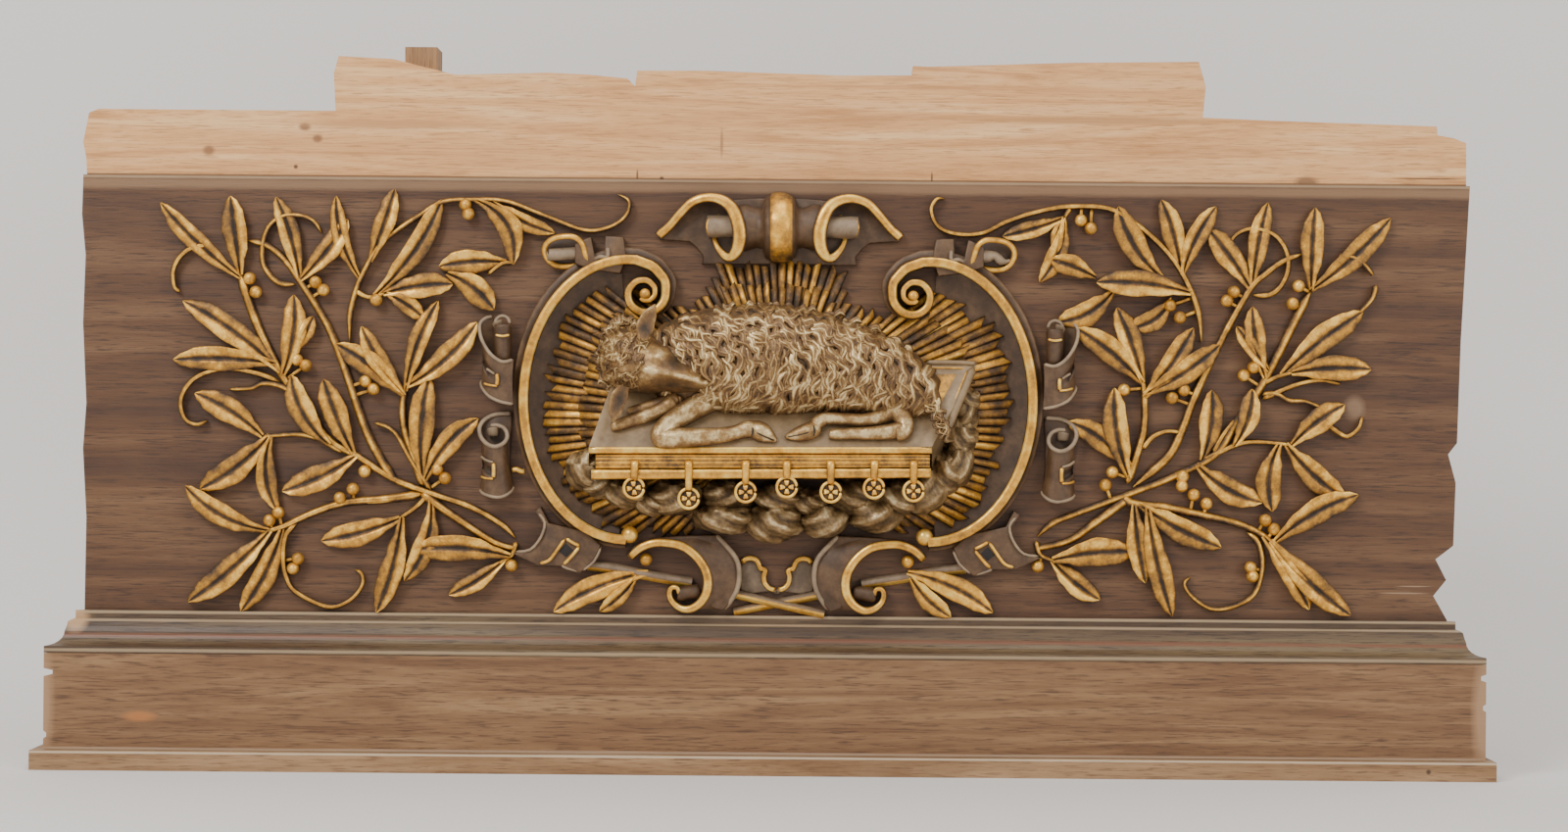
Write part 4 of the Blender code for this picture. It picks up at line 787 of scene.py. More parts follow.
def slab(bm, place, outline, high, low=0.3, round_by=1.6, worn=0.5, coat=1):
    """A flat piece cut to an outline, its front arrises rounded over."""
    rub = rub_layer(bm)
    old = set(bm.verts)
    rim = bmesh.ops.create_circle(bm, cap_ends=True, segments=len(outline), radius=1.0)["verts"]
    for vert, (u, v) in zip(rim, outline):
        vert.co = place(u, v, low)
    sides = bmesh.ops.extrude_face_region(bm, geom=[rim[0].link_faces[0]])["geom"]
    front = [part for part in sides if isinstance(part, bmesh.types.BMVert)]
    for vert in front:
        vert.co.y = place(0, 0, high).y
    arrises = [part for part in sides if isinstance(part, bmesh.types.BMEdge)]
    bmesh.ops.bevel(bm, geom=arrises, offset=round_by * 0.001, segments=2, profile=0.5,
                    affect="EDGES", clamp_overlap=True)
    for vert in bm.verts:
        if vert not in old:
            depth = (FACE_Y - vert.co.y) * 1000 / high
            vert[rub] = worn * max(0.0, min(depth, 1.0)) ** 2
            for face in vert.link_faces:
                face.material_index = coat


STRIP_THICK, WINDOW_DEEP = 3.0, 7.0


def sheet(bm, place, top, low, window):
    """A bent strip of wood between its top and low edge; window is a sunk opening."""
    head, foot = curve(top, 3), curve(low, 3)
    middle = (head[0][0] + head[-1][0]) / 2
    for thick in (0.0, STRIP_THICK):
        def on(s, t):
            u, v, h = (a + (b - a) * t for a, b in zip(at(head, s)[0], at(foot, s)[0]))
            u = middle + (u - middle) * (1 - 0.10 * math.sin(math.pi * t))
            deep = WINDOW_DEEP if window[0] < s < window[1] and window[2] < t < window[3] else 0.0
            return place(u, v, max(h - deep - thick, 0.3)), 0.0 if deep else 0.45
        skin(bm, len(head) - 1, 18, on, coat=1)
    beads(bm, place, ((1.9, 0.75, 2, top), (1.7, 0.8, 2, low)))


# Thin edges are rubbed through to tan wood
tan_edge = dark_paint("rubbed_umber_edge", ((0.05, "#4A3A2C"), (0.35, "#75614C"), (0.6, "#968066"),
                                            (0.9, "#BCA27C")))
# The clasp isn't cut through to the panel: its pierced square is a near-black sheet laid on it, a painted
# shadow standing in for the hole
painted_hole_shadow = dark_paint("painted_clasp_hole_shadow", ((0.2, "#17100C"), (0.8, "#2A1E16")))

# Upper curl, open at the top, with its inner tube and dowel. Beads: radius, rub, material, path
UPPER_TOP = ((524, 367, 25), (512, 369, 26), (500, 360.5, 24), (491.5, 346, 18), (489.5, 332, 11),
             (495, 325, 7), (503, 323, 4))
UPPER_LOW = ((524, 412.5, 25), (511, 410, 25), (499.5, 404.5, 22), (493, 397, 15), (491, 391, 8),
             (494, 388, 4), (503, 387, 2))
UPPER_TUBE = ((512.5, 372, 12, 8.6), (512.7, 350, 13, 8.8), (512.8, 334, 14, 9.2),
              (512.8, 331, 13, 9.2))
UPPER_RING = [(512.8 + 7.6 * math.cos(k * math.pi / 4), 330.5 - 8.0 * math.sin(k * math.pi / 4),
               15 - 4 * math.sin(k * math.pi / 4)) for k in range(9)]
UPPER_BEADS = ((1.9, 0.6, 2, UPPER_RING),
               (1.4, 0.9, 0, ((505, 341.5, 22.6), (512.8, 343, 23.4), (520.5, 341.5, 22.6))),
               (2.0, 0.8, 2, ((508, 333, 12, 5.0), (507.5, 329, 15, 5.4), (507, 327.5, 17, 4.6))))
# Lower curl, rolled over on itself, flared at its foot
LOWER_RIM = ((522.6, 422, 6), (506.5, 422.8, 5), (495.3, 427.7, 7), (489.5, 436, 11), (491, 446, 16),
             (498, 453.6, 22), (506.5, 455.7, 25), (514.9, 451.5, 22), (517.7, 444.5, 17),
             (514.9, 437.5, 13), (507.9, 434, 12), (500, 434.7, 12))
LOWER_BACK = ((523, 422), (506, 423), (494, 429), (490, 437), (491, 452), (495, 470), (491, 498),
              (509, 504), (523, 496), (521, 470), (522, 445))
LOWER_TOP = ((490.5, 444, 12), (493, 449, 18), (499, 454, 23), (506.5, 456, 25), (513.5, 453, 23),
             (517.5, 448, 17), (518, 442, 9))
LOWER_LOW = ((490, 499, 10), (492.5, 503, 17), (499, 506, 22), (508, 507.5, 24), (516, 505.5, 22),
             (522, 501, 16), (524, 496, 8))
LOWER_BEADS = ((2.3, 0.75, 2, LOWER_RIM),
               (2.0, 0.7, 2, ((503, 446, 9, 5.6), (502.8, 439, 13, 5.8), (502.5, 436, 15, 5.2))))
# Gilt rims of both curls' windows, and the ribs above and below each
RIM_BEADS = ((2.2, 0.9, 0, ((507, 381, 26), (507.6, 387, 27), (507, 393.5, 26))),
             (2.2, 0.9, 0, ((503.6, 472, 25), (503.9, 480, 26), (503.6, 488, 25))),
             (1.3, 0.7, 2, ((496, 376, 22), (500, 378.5, 25), (505, 382, 27))),
             (1.3, 0.8, 0, ((493, 391, 20), (500, 393, 25), (508, 394, 27))),
             (1.4, 0.7, 2, ((490, 465, 16), (496, 469.5, 23), (504, 472, 26))),
             (1.3, 0.8, 0, ((490, 486, 15), (496, 488, 22), (504, 488.5, 26))))
# A small gilt peg, on the left only
PEG = ((522, 480, 9), (527, 479, 10), (532, 481, 10), (536, 481, 9))
# The stepped block, the loop and the dowel over the volute, snapped off on the right
BLOCK = ((597, 246), (604, 243), (608, 262), (613, 264), (618, 262), (619, 242), (637, 243),
         (640, 262), (634, 280), (604, 276), (588, 270), (588, 250))
LOOP_BACK = ((558, 250), (570, 243), (588, 244), (596, 262), (586, 270), (566, 270))
BLOCK_BEADS = ((3.0, 0.75, 0, ((604, 262, 12), (598, 268, 10), (586, 271, 8), (572, 272, 8),
                               (562, 268, 9), (556, 259, 11), (557, 250, 14), (564, 244, 17),
                               (574, 241.5, 20), (586, 242, 22), (594, 249, 21), (598, 262, 18),
                               (604, 274, 15))),
               (2.2, 0.7, 2, ((606, 266, 17), (612, 262, 22), (620, 262, 22), (620, 252, 21))))
DOWEL = ((600, 258, 12, 6.4), (580, 259, 13, 6.4), (562, 260, 14, 6.4), (560, 260, 14, 5.6))
STUB = ((600, 258, 12, 6.4), (584, 258, 13, 6.6), (576, 257, 13, 4.4), (570, 262, 12, 4.8),
        (564, 263, 12, 2.4), (560, 261, 12, 1.2))
# The clasp under the C
CLASP = ((547, 521), (553, 517), (561, 533), (600, 542), (614, 556), (606, 573), (593, 584),
         (578, 579), (573, 577), (550, 576.5), (537, 570), (525, 564), (541, 561), (552, 548),
         (556, 535))
CLASP_HOLE_SHADOW = ((572, 562), (579, 554), (586, 560.5), (579, 568))
CLASP_BEADS = ((1.5, 0.8, 2, ((549, 523, 17), (556, 533, 18), (552, 548, 19), (541, 561, 18),
                              (525, 563, 15))),
               (1.9, 0.8, 0, ((550, 575, 16), (560, 572, 18), (568, 562, 19), (577, 549, 19.5))),
               (1.9, 0.8, 0, ((577, 549, 19.5), (585, 554, 19.5), (592, 557, 18.5))),
               (1.9, 0.8, 0, ((592, 557, 18.5), (583, 568, 18.5), (574, 577, 17))),
               (1.5, 0.8, 2, ((614, 557, 15), (606, 573, 16), (593, 583, 15))),
               (1.5, 0.8, 2, ((573, 577, 17), (579, 580, 16), (593, 583.5, 15))))
for side, name in ((-1, "left"), (1, "right")):
    here = twin(side)
    bm = bmesh.new()
    sheet(bm, here, UPPER_TOP, UPPER_LOW, (0.36, 0.68, 0.36, 0.56))
    cord(bm, here, UPPER_TUBE, worn=0.4, coat=1, sides=12)
    beads(bm, here, UPPER_BEADS)
    slab(bm, here, LOWER_BACK, 5.0, worn=0.25)
    sheet(bm, here, LOWER_TOP, LOWER_LOW, (0.08, 0.42, 0.42, 0.6))
    beads(bm, here, LOWER_BEADS + RIM_BEADS)
    if side < 0:
        cord(bm, here, PEG, 2.8, 0.9)
    slab(bm, here, BLOCK, 20.0, worn=0.6)
    slab(bm, here, LOOP_BACK, 6.0, worn=0.1)
    beads(bm, here, BLOCK_BEADS)
    cord(bm, here, STUB if side > 0 else DOWEL, worn=0.75, coat=2, sides=10)
    slab(bm, here, CLASP, 17.0, worn=0.45)
    # A dark square laid on the clasp: painted shadow where it is pierced
    slab(bm, here, CLASP_HOLE_SHADOW, 17.6, round_by=0.3, worn=0.0, coat=3)
    beads(bm, here, CLASP_BEADS, steps=3)
    finish("strapwork_" + name, bm, [bright, umber, tan_edge, painted_hole_shadow], "scroll_frame_" + name)


# The crest is a turned spool in a fretted back board, held by two ring-ended straps
# and a dowel through each. Torus and straps are gilded, the rest is umber paint.
# The spool's u and radius from end to end; its torus is the gilt part in the middle
SPOOL = ((753.5, 22), (755, 24), (762, 24.5), (772, 21), (778, 22), (780, 29), (781, 31.5), (783.5, 33),
         (785.5, 33.5), (786, 34.5), (788, 36), (792, 36.6), (796.5, 36.8), (801, 36.4), (805, 35.4),
         (806.5, 34), (808.5, 33), (811, 31.5), (812, 29), (814, 22), (820, 21), (830, 24.5),
         (837, 24), (838.5, 22))
SPOOL_V, TORUS = 232.5, (9, 16)
CREST_BACK = ((794, 270), (716.5, 270), (718, 262), (712, 254), (704, 247), (673, 245), (673, 240),
              (683, 231), (696, 216), (706, 206), (719, 201.5), (732, 201), (745, 205), (770, 203),
              (794, 203))
CREST_BAND = ((672, 241, 13, 3.2), (675, 238, 14, 3.8), (683, 231, 17, 3.5), (695.5, 216.5, 22, 3.5),
              (706, 206.5, 25, 3.6), (719, 201.8, 27, 3.8), (732.3, 202.5, 29, 4.2),
              (744, 209, 31, 4.9), (751.5, 222, 33, 5.5), (755, 240, 33, 5.7), (751.5, 256, 31, 5.0),
              (743, 262.5, 27, 3.8), (734, 255, 20, 2.6), (729, 244, 14, 2.0), (729.5, 230, 9, 1.8),
              (735, 217, 8, 1.6))
# Where each dowel ends, left and right
DOWEL_ENDS = {-1: 720, 1: 714}


def spool(s, t):
    """The turned spool, half sunk in the back board, with its torus rubbed bright."""
    u, r = SPOOL[round(s * (len(SPOOL) - 1))]
    turn = math.pi * (t * 1.1 - 0.05)
    worn = 0.5
    if 786 < u < 807:
        worn = 0.75 * (0.75 if abs(u - 796) > 7 else 1.0)
    return spot(u, SPOOL_V - r * math.cos(turn), max(3 + r * math.sin(turn), 0.4)), \
        worn * math.sin(max(turn, 0.0))


def gilt_torus(s, t):
    """Gold between the TORUS stations and umber beyond them."""
    return 0 if TORUS[0] <= int(s * (len(SPOOL) - 1)) < TORUS[1] else 1


bm = bmesh.new()
skin(bm, len(SPOOL) - 1, 26, spool, gilt_torus)
for side, end in DOWEL_ENDS.items():
    here = twin(side)
    slab(bm, here, CREST_BACK, 7.0, worn=0.35)
    strap(bm, here, CREST_BAND)
    cord(bm, here, ((758, 231, 13, 11.0), (740, 231, 14, 11.4), (end + 4, 231, 15, 11.6),
                    (end + 2, 231, 15, 10.8), (end, 231, 15, 5.0)), worn=0.6, coat=2, sides=14)
    cord(bm, here, ((end + 4, 222, 22), (end + 1.5, 231, 25), (end + 4, 240, 22)), 1.5, 0.6)
finish("crest", bm, [bright, umber, tan_edge], "crest")


# The foot: two bands curl down under the C-scrolls and back round small rolls, with a
# cut-out omega between them, crossed stems, berries and four limp leaves. Gilt on umber.
FOOT_BAND = ((642.5, 569, 20, 3.0), (652.6, 559.7, 24, 3.4), (665.8, 554.5, 26, 3.6),
             (679, 554, 27, 3.6), (695.7, 557.2, 28, 3.8), (709, 566.3, 28, 3.8),
             (718.9, 579.6, 28, 3.9), (722.4, 593, 27, 4.0), (720.6, 606, 26, 3.9),
             (713.9, 616, 24, 3.6), (704, 621.5, 22, 3.4), (694, 620.5, 19, 3.0),
             (685.5, 613.5, 17, 2.6), (683, 605, 17, 2.4), (686, 599.5, 18, 2.2),
             (691.5, 600.5, 19, 2.0), (693, 607, 18, 1.8))
FOOT_RIM = ((729.7, 545.5, 16), (740.5, 556.4, 19), (751, 569.7, 20), (754.4, 583, 20),
            (752.8, 599.5, 19), (745.4, 613.4, 17), (738, 621.5, 13))
FOOT_BACK = ((641, 566), (648, 556), (664, 549), (690, 546.5), (729.7, 545), (741, 556.4),
             (752, 569.7), (755, 583), (753, 599.5), (745.4, 614.4), (738, 622.2), (727, 619),
             (722, 605), (722.2, 593), (718.9, 579.6), (709, 566.3), (695.7, 557.2), (679, 554),
             (665.8, 554), (652.6, 559.7))
FOOT_ROLL = ((716, 603, 10, 7.4), (704, 604.5, 11, 7.6), (694, 606, 12, 7.6), (691.5, 606, 12, 5.0))
OMEGA = ((757, 574.5), (760, 571), (765, 569.7), (771, 571), (774, 575), (776, 580), (781, 582),
         (779.5, 588), (780.5, 595), (785, 600.3), (791, 602))
OMEGA_BACK = ((757, 573), (765, 568), (774, 572), (778, 580), (783, 582), (781, 590), (786, 599),
              (794.5, 602), (794.5, 607), (783, 604), (768, 606), (756, 603), (754, 590))
FOOT_BERRY, FOOT_BERRY_R = (659.2, 570.8), 6.6
# The long stems, and those that cross under the omega: their paths, and offset, height, rub
LONG_STEM = ((600, 577), (630, 581), (664, 588), (706, 595))
LONG_SECTION = ((-6.0, 0.3, 0.0), (-5.4, 7.0, 0.3), (-2.0, 11.5, 0.5), (1.2, 10.5, 0.35),
                (2.0, 10.0, 0.9), (4.8, 6.5, 0.85), (5.4, 0.3, 0.0))
CROSS_STEMS = {-1: ((740, 604), (794, 616.5), (841, 627)), 1: ((742, 605), (794, 616), (836, 625))}
CROSS_SECTION = ((-5.0, 0.3, 0.0), (-4.4, 7.0, 0.3), (-1.0, 11.5, 0.5), (1.0, 11.0, 0.9),
                 (4.2, 7.0, 0.8), (4.8, 0.3, 0.0))
# The right-hand stem lies under the left-hand one by twice this, in mm
CROSS_SHIFT = 2.4
FOOT_LEAVES = (((662, 584), (565, 624), 27, 6), ((650, 588), (612, 624), 17, -3),
               ((928, 587), (970, 630), 21, 4), ((926, 584), (1013, 625), 26, -6))


def gilt_edge(s, t):
    """Gold on a stem's lower half, rubbed umber on its upper half."""
    return 0 if t > 0.5 else 2


bm = bmesh.new()
for side in (-1, 1):
    here = twin(side)
    outer, inner = curve(FOOT_RIM, 4), curve([p[:3] for p in FOOT_BAND[3:11]], 4)

    def body(s, t):
        u, v, h = at(inner, s)[0]
        u2, v2, h2 = at(outer, s)[0]
        swell = 1.5 * math.sin(math.pi * t) - 4 * t * t * (1 - t)
        return here(u + (u2 - u) * t, v + (v2 - v) * t, h - 3 + (h2 - h + 1) * t + swell), 0.45

    def long_section(s):
        return LONG_SECTION

    def cross_section(s):
        return [(off, h if h < 1 else h - CROSS_SHIFT * side, worn) for off, h, worn in CROSS_SECTION]

    skin(bm, 28, 12, body, coat=1)
    slab(bm, here, FOOT_BACK, 19.0, worn=0.4)
    strap(bm, here, FOOT_BAND)
    cord(bm, here, FOOT_RIM, 2.7, 0.75, coat=2)
    cord(bm, here, FOOT_ROLL, worn=0.4, coat=1, sides=12)
    slab(bm, here, OMEGA_BACK, 3.0, worn=0.3, coat=2)
    strap(bm, here, [(u, v, 9.0, 2.3) for u, v in OMEGA], steps=3)
    rail(bm, curve(LONG_STEM, 4), long_section, place=here, coat=gilt_edge)
    # v runs down the drawing, so the berry's upward radius is negative
    lobe(bm, here, *FOOT_BERRY, 11.0, (FOOT_BERRY_R, -FOOT_BERRY_R, FOOT_BERRY_R))
    rail(bm, CROSS_STEMS[side], cross_section, place=here, coat=gilt_edge)
for number, (base, tip, width, bend) in enumerate(FOOT_LEAVES):
    olive_leaf(bm, base, tip, width, bend, 11.0 + number, number + 60)
finish("foot_scrolls", bm, [bright, umber, tan_edge], "foot_scrolls")


# The book lies aslant on the clouds, carved with them: boards and page edges burnished,
# the cover toned brown. Seven seals hang from straps at its fore edge.
# v of the cover's front and back edge and how far each stands proud, in mm
BOOK_FRONT, BOOK_BACK = (456.0, 72.0), (371.0, 22.0)
# u of the cover's left and right edge, at the front and at the back
COVER_ENDS = ((601.0, 632.0), (951.0, 997.0))
# Across the fore edge: offset down from the cover's front, height, how rubbed
UPPER_BOARD = ((0.0, 40, 0.0), (0.0, 72.6, 0.5), (0.7, 74.0, 0.9), (2.6, 74.4, 0.7), (5.6, 74.2, 0.8),
               (6.6, 73.0, 0.6), (7.0, 66, 0.1), (7.2, 40, 0.0))
PAGES = ((6.8, 40, 0.0), (7.0, 69, 0.1), (8.0, 70.6, 0.7), (9.6, 71.2, 0.55), (10.6, 70.2, 0.3),
         (11.6, 71.3, 0.7), (13.2, 70.9, 0.5), (14.2, 70.0, 0.25), (15.4, 71.2, 0.65),
         (17.4, 70.7, 0.5), (18.6, 69.8, 0.3), (20.0, 70.8, 0.6), (22.2, 70.2, 0.5), (23.4, 66, 0.1),
         (23.6, 40, 0.0))
LOWER_BOARD = ((23.0, 40, 0.0), (23.2, 72.0, 0.3), (24.2, 73.8, 0.9), (27.0, 74.0, 0.6),
               (31.6, 73.8, 0.75), (33.0, 72.2, 0.5), (33.4, 40, 0.0))
BOARDS = ((601.0, 951.0, UPPER_BOARD), (608.0, 949.0, PAGES), (603.5, 950.0, LOWER_BOARD))
COVER_BEADS = ((4.3, 0.75, 1, ((994, 373, 26), (981, 405, 42), (966, 440, 62))),
               (2.6, 0.75, 1, ((944, 370, 25), (970, 370, 25), (998, 371, 25))),
               (1.1, 0.75, 0, ((944, 375.5, 26), (970, 375.5, 26), (988, 376, 26))),
               (1.0, 0.75, 0, ((988, 376, 27), (976, 404, 43), (962, 440, 62))))
SEALS = ((647, 498), (703, 508.6), (761, 502), (803, 497), (848, 502), (892, 498), (932.4, 501))
SEAL_R, SEAL_RIM_R, SEAL_FACE, SEAL_BACK = 10.6, 10.2, 70.0, 60.0


def cover_h(v):
    """How far the sloping cover stands proud at v of the drawing."""
    slope = (BOOK_FRONT[1] - BOOK_BACK[1]) / (BOOK_FRONT[0] - BOOK_BACK[0])
    return BOOK_BACK[1] + (v - BOOK_BACK[0]) * slope


def cover(s, t):
    """The sloping cover, with a raised border at its ends and back."""
    v = BOOK_FRONT[0] + (BOOK_BACK[0] - BOOK_FRONT[0]) * t
    left, right = (front + (back - front) * t for front, back in COVER_ENDS)
    u = left + (right - left) * s
    raised = 2.4 if s > 0.972 or t > 0.95 or s < 0.02 else 0.0
    return spot(u, v, cover_h(v) + raised), 0.5 + 0.1 * raised


def gilt_corner(s, t):
    """The cover is toned brown but for a gilt field at its right end."""
    return 0 if 0.9 < s < 0.965 and 0.4 < t < 0.86 else 1


def ring_points(u, v, r, count, h=None):
    """Points round (u, v) in the drawing, with a height where h is given."""
    turns = [2 * math.pi * k / count for k in range(count if h is None else count + 1)]
    points = [(u + r * math.cos(turn), v + r * math.sin(turn)) for turn in turns]
    return points if h is None else [point + (h,) for point in points]


bm = bmesh.new()
skin(bm, 72, 24, cover, gilt_corner)
for u_front, u_back in COVER_ENDS:
    def book_end(s, t):
        v = BOOK_FRONT[0] + (BOOK_BACK[0] - BOOK_FRONT[0]) * s
        return spot(u_front + (u_back - u_front) * s, v + 30 * t * (1 - s),
                    cover_h(v) * (1 - t) + 15 * t), 0.2
    skin(bm, 8, 4, book_end, coat=1)
beads(bm, spot, COVER_BEADS)
for left, right, profile in BOARDS:
    def fore_edge(s, t):
        off, h, worn = profile[round(t * (len(profile) - 1))]
        end = 40 if s < 1e-6 or s > 1 - 1e-6 else h
        run = min(max((s - 0.02) / 0.96, 0.0), 1.0)
        wave = 0.25 * math.sin(37 * run + off) * (off > 7.5)
        v = BOOK_FRONT[0] + off + wave - 1.5 * run * (off > 20)
        return spot(left + (right - left) * run, v, end), worn
    skin(bm, 50, len(profile) - 1, fore_edge)
for number, (u, v) in enumerate(SEALS):
    lean = (chance(number, 1) - 0.5) * 2
    cord(bm, spot, ((u - lean, 469.5, 72, 4.0), (u - lean, 472, 76, 4.2),
                    (u - lean * 0.6, 480, 76.5, 4.0), (u - lean * 0.2, v - 10, 74, 3.6),
                    (u, v - 9, 70, 3.4)), worn=0.75, lift=0.55)
    cord(bm, spot, ((u - 1.5 - lean, 473, 78.2), (u - 1.2, v - 11, 76)), 0.6, 0.95, sides=6)
    slab(bm, spot, ring_points(u, v, SEAL_R, 24), SEAL_FACE, low=SEAL_BACK, round_by=0.8, worn=0.06,
         coat=0)
    cord(bm, spot, ring_points(u, v, SEAL_RIM_R, 16, SEAL_FACE + 1.5), 1.7, 0.95, steps=2)
    # Four arms of three gouged petals each, which leave the cross between them
    for k in range(4):
        turn = k * math.pi / 2 + lean * 0.12
        out, over = (math.cos(turn), math.sin(turn)), (-math.sin(turn), math.cos(turn))
        for fan in (-0.9, 0.0, 0.9):
            petal = [(u + out[0] * far + over[0] * fan * wide, v + out[1] * far + over[1] * fan * wide,
                      h, r) for far, wide, h, r in
                     ((1, 0.0, 71.4, 1.0), (4, 1.0, 72, 1.3), (8, 2.2, 71.4, 1.4))]
            cord(bm, spot, petal, worn=0.9, steps=2, sides=6)
# The cover was toned like leather, with a low sheen
tan_cover = dark_paint("toned_book_cover", ((0.05, "#4E3A28"), (0.35, "#7A6344"), (0.6, "#957B59"),
                                            (0.9, "#B89F78")), roughness=0.45)
finish("book_and_seals", bm, [bright, tan_cover], "book_with_seals")


# Clouds are carved in one with the group: a row of puffs, each cut with curling grooves.
# They were silvered; the leaf has tarnished brown and is bright only where it is rubbed.
SILVER_TONES = ((0.0, "#2A1C0D"), (0.22, "#50391D"), (0.45, "#735330"), (0.68, "#A07D4C"),
                (0.92, "#E4C994"))
silvering = leaf_gilding("silver_leaf_tarnished", SILVER_TONES, 0.45, 0.4, 380.0)
CLOUD_TONES = ((0.0, "#2E2011"), (0.25, "#5A4427"), (0.5, "#876C45"), (0.72, "#B29468"),
               (0.92, "#E2CC9E"))
cloud_silver = leaf_gilding("silver_leaf_dull", CLOUD_TONES, 0.4, 0.44, 320.0)
# Middle u, v; half width, half height; height; which way the grooves turn
PUFFS = ((598, 480, 21, 22, 36, 1), (612, 494, 18, 15, 34, -1), (640, 503, 24, 16, 44, 1),
         (664, 514, 18, 13, 40, 1), (690, 507, 30, 20, 50, -1), (738, 529, 34, 17, 52, 1),
         (744, 505, 28, 18, 48, -1), (791, 533, 30, 21, 54, 1), (796, 508, 30, 17, 48, 1),
         (842, 531, 26, 19, 52, -1), (826, 512, 20, 15, 48, 1), (871, 507, 28, 20, 48, 1),
         (893, 525, 28, 19, 52, -1), (915, 508, 26, 20, 48, 1), (944, 499, 25, 26, 50, -1),
         (966, 482, 20, 22, 44, 1), (978, 474, 17, 24, 40, -1), (981, 446, 17, 22, 34, 1),
         (986, 424, 13, 18, 30, -1), (988, 408, 13, 12, 26, 1), (608, 470, 16, 14, 36, -1))
CLOUD_MIDDLE = 10.0
bm = bmesh.new()
rub = rub_layer(bm)
for number, (u, v, wide, tall, high, turn) in enumerate(PUFFS):
    ball = bmesh.ops.create_uvsphere(bm, u_segments=56, v_segments=36, radius=1.0)["verts"]
    focus = Vector((0.75 * turn, 0.55 + 0.5 * (chance(number, 1) - 0.5)))
    for vert in ball:
        way = vert.co.copy()
        flat = Vector((way.x, way.z)) - focus
        swirl = math.atan2(flat.y, flat.x * turn)
        groove = math.sin(8.0 * flat.length + 0.5 * swirl + number)
        stray = noise.noise(way * 3 + Vector((number, 0, 0)))
        fine = math.sin(27.0 * flat.length + 2.4 * swirl + 3 * stray)
        crest = 1 + 0.055 * groove + 0.018 * fine
        vert[rub] = min(max(0.40 + 0.22 * groove + 0.12 * fine - 0.18 * way.y, 0.0), 1.0)
        h = CLOUD_MIDDLE - way.y * (high - CLOUD_MIDDLE) * crest
        vert.co = spot(u + way.x * wide * crest, v - way.z * tall * crest, max(h, 1.0))
finish("clouds", bm, [cloud_silver], "clouds")


# The lamb sleeps on the book: carved oak, silvered over a warm ground. Its fleece is cut in
# overlapping wavy locks, tight along the back and long on the flank; face and legs are smooth.
# Stations along the body: u, top v, bottom v, height
BODY = ((652, 350, 392, 50), (664, 340, 402, 56), (680, 329, 412, 63), (700, 319, 418, 71),
        (728, 314, 421, 81), (762, 312, 423, 86), (800, 312, 423, 88), (838, 319, 421, 88),
        (874, 331, 421, 86), (904, 343, 424, 82), (930, 358, 428, 74), (948, 372, 426, 66),
        (960, 388, 418, 58))
BODY_TABLES = [[(row[0], row[k]) for row in BODY] for k in (1, 2, 3)]
BODY_LOW, HEAD_LOW = 36.0, 44.0


def body_h(u, v):
    """Height of the lamb's body at a place of the drawing, 0 off its edge."""
    if not BODY[0][0] < u < BODY[-1][0]:
        return 0.0
    top, bottom, high = (between(table, u) for table in BODY_TABLES)
    share = (v - (top + bottom) / 2) / ((bottom - top) / 2)
    if abs(share) >= 1:
        return 0.0
    return BODY_LOW + (high - BODY_LOW) * math.sqrt(1 - share * share) ** 0.8


def flesh(s, t):
    """The body under the fleece, closed round at both ends."""
    u = BODY[0][0] + 0.1 + (BODY[-1][0] - BODY[0][0] - 0.2) * s
    top, bottom, high = (between(table, u) for table in BODY_TABLES)
    share = -math.cos(math.pi * t)
    v = (top + bottom) / 2 + share * (bottom - top) / 2
    close = min(1.0, s * 14, (1 - s) * 14)
    round_h = math.sqrt(max(1 - share * share, 0.0)) ** 0.8
    h = BODY_LOW + (high - BODY_LOW) * round_h * close ** 0.5
    return spot(u, v, h - 2), 0.3


def lock(bm, u, v, angle, length, width, number, rise=4.2, wave=1.0, ground=body_h):
    """A wavy tapering lock with grooves, bedded on the surface below it."""
    turn = math.radians(angle)
    ahead = (math.cos(turn), math.sin(turn))
    across = (-ahead[1], ahead[0])
    phase = 6.28 * chance(number, 1)
    strands = 2 + (chance(number, 2) > 0.5)
    level = 0.42 + 0.3 * chance(number, 3)

    def on(s, t):
        a = 2 * t - 1
        bend = wave * width * 0.34 * math.sin(2 * math.pi * 0.95 * s + phase)
        swell = math.sin(math.pi * min(0.1 + s * 0.9, 1.0)) ** 0.8
        wide = width / 2 * (0.55 + 0.6 * swell - 0.45 * s ** 3)
        here_u = u + ahead[0] * length * s + across[0] * (bend + a * wide)
        here_v = v + ahead[1] * length * s + across[1] * (bend + a * wide)
        groove = math.cos(math.pi * strands * a + bend * 0.2)
        arch = math.sqrt(max(1 - a * a, 0.0))
        lift = rise * arch * (0.55 + 0.6 * math.sin(math.pi * s)) * (1 + 0.28 * groove)
        nearer = ground(here_u * 0.9 + u * 0.1, here_v * 0.9 + v * 0.1) - 4
        low = max(ground(here_u, here_v), nearer, 30.0)
        worn = 0.12 + level * arch + 0.2 * groove * arch
        return spot(here_u, here_v, low - 1.2 + lift), min(max(worn, 0.0), 1.0)
    skin(bm, 10, 8, on)


# Head stations: u, v, half width, height
HEAD = ((613, 366, 8, 54), (619, 365, 24, 66), (632, 366, 31, 78), (648, 368, 32, 85),
        (662, 371, 30, 89), (680, 376, 25, 91), (698, 384, 18, 90), (712, 389, 13, 87), (720, 391.5, 9, 82),
        (725, 392, 3, 76))
HEAD_TABLES = [[(row[0], row[k]) for row in HEAD] for k in (1, 2, 3)]


def head_h(u, v):
    """Height of the lamb's skull at a place of the drawing, 0 off its edge."""
    if not HEAD[0][0] < u < HEAD[-1][0]:
        return 0.0
    middle, half, high = (between(table, u) for table in HEAD_TABLES)
    share = (v - middle) / half
    if abs(share) >= 1:
        return 0.0
    return HEAD_LOW + (high - HEAD_LOW) * math.sqrt(1 - share * share)


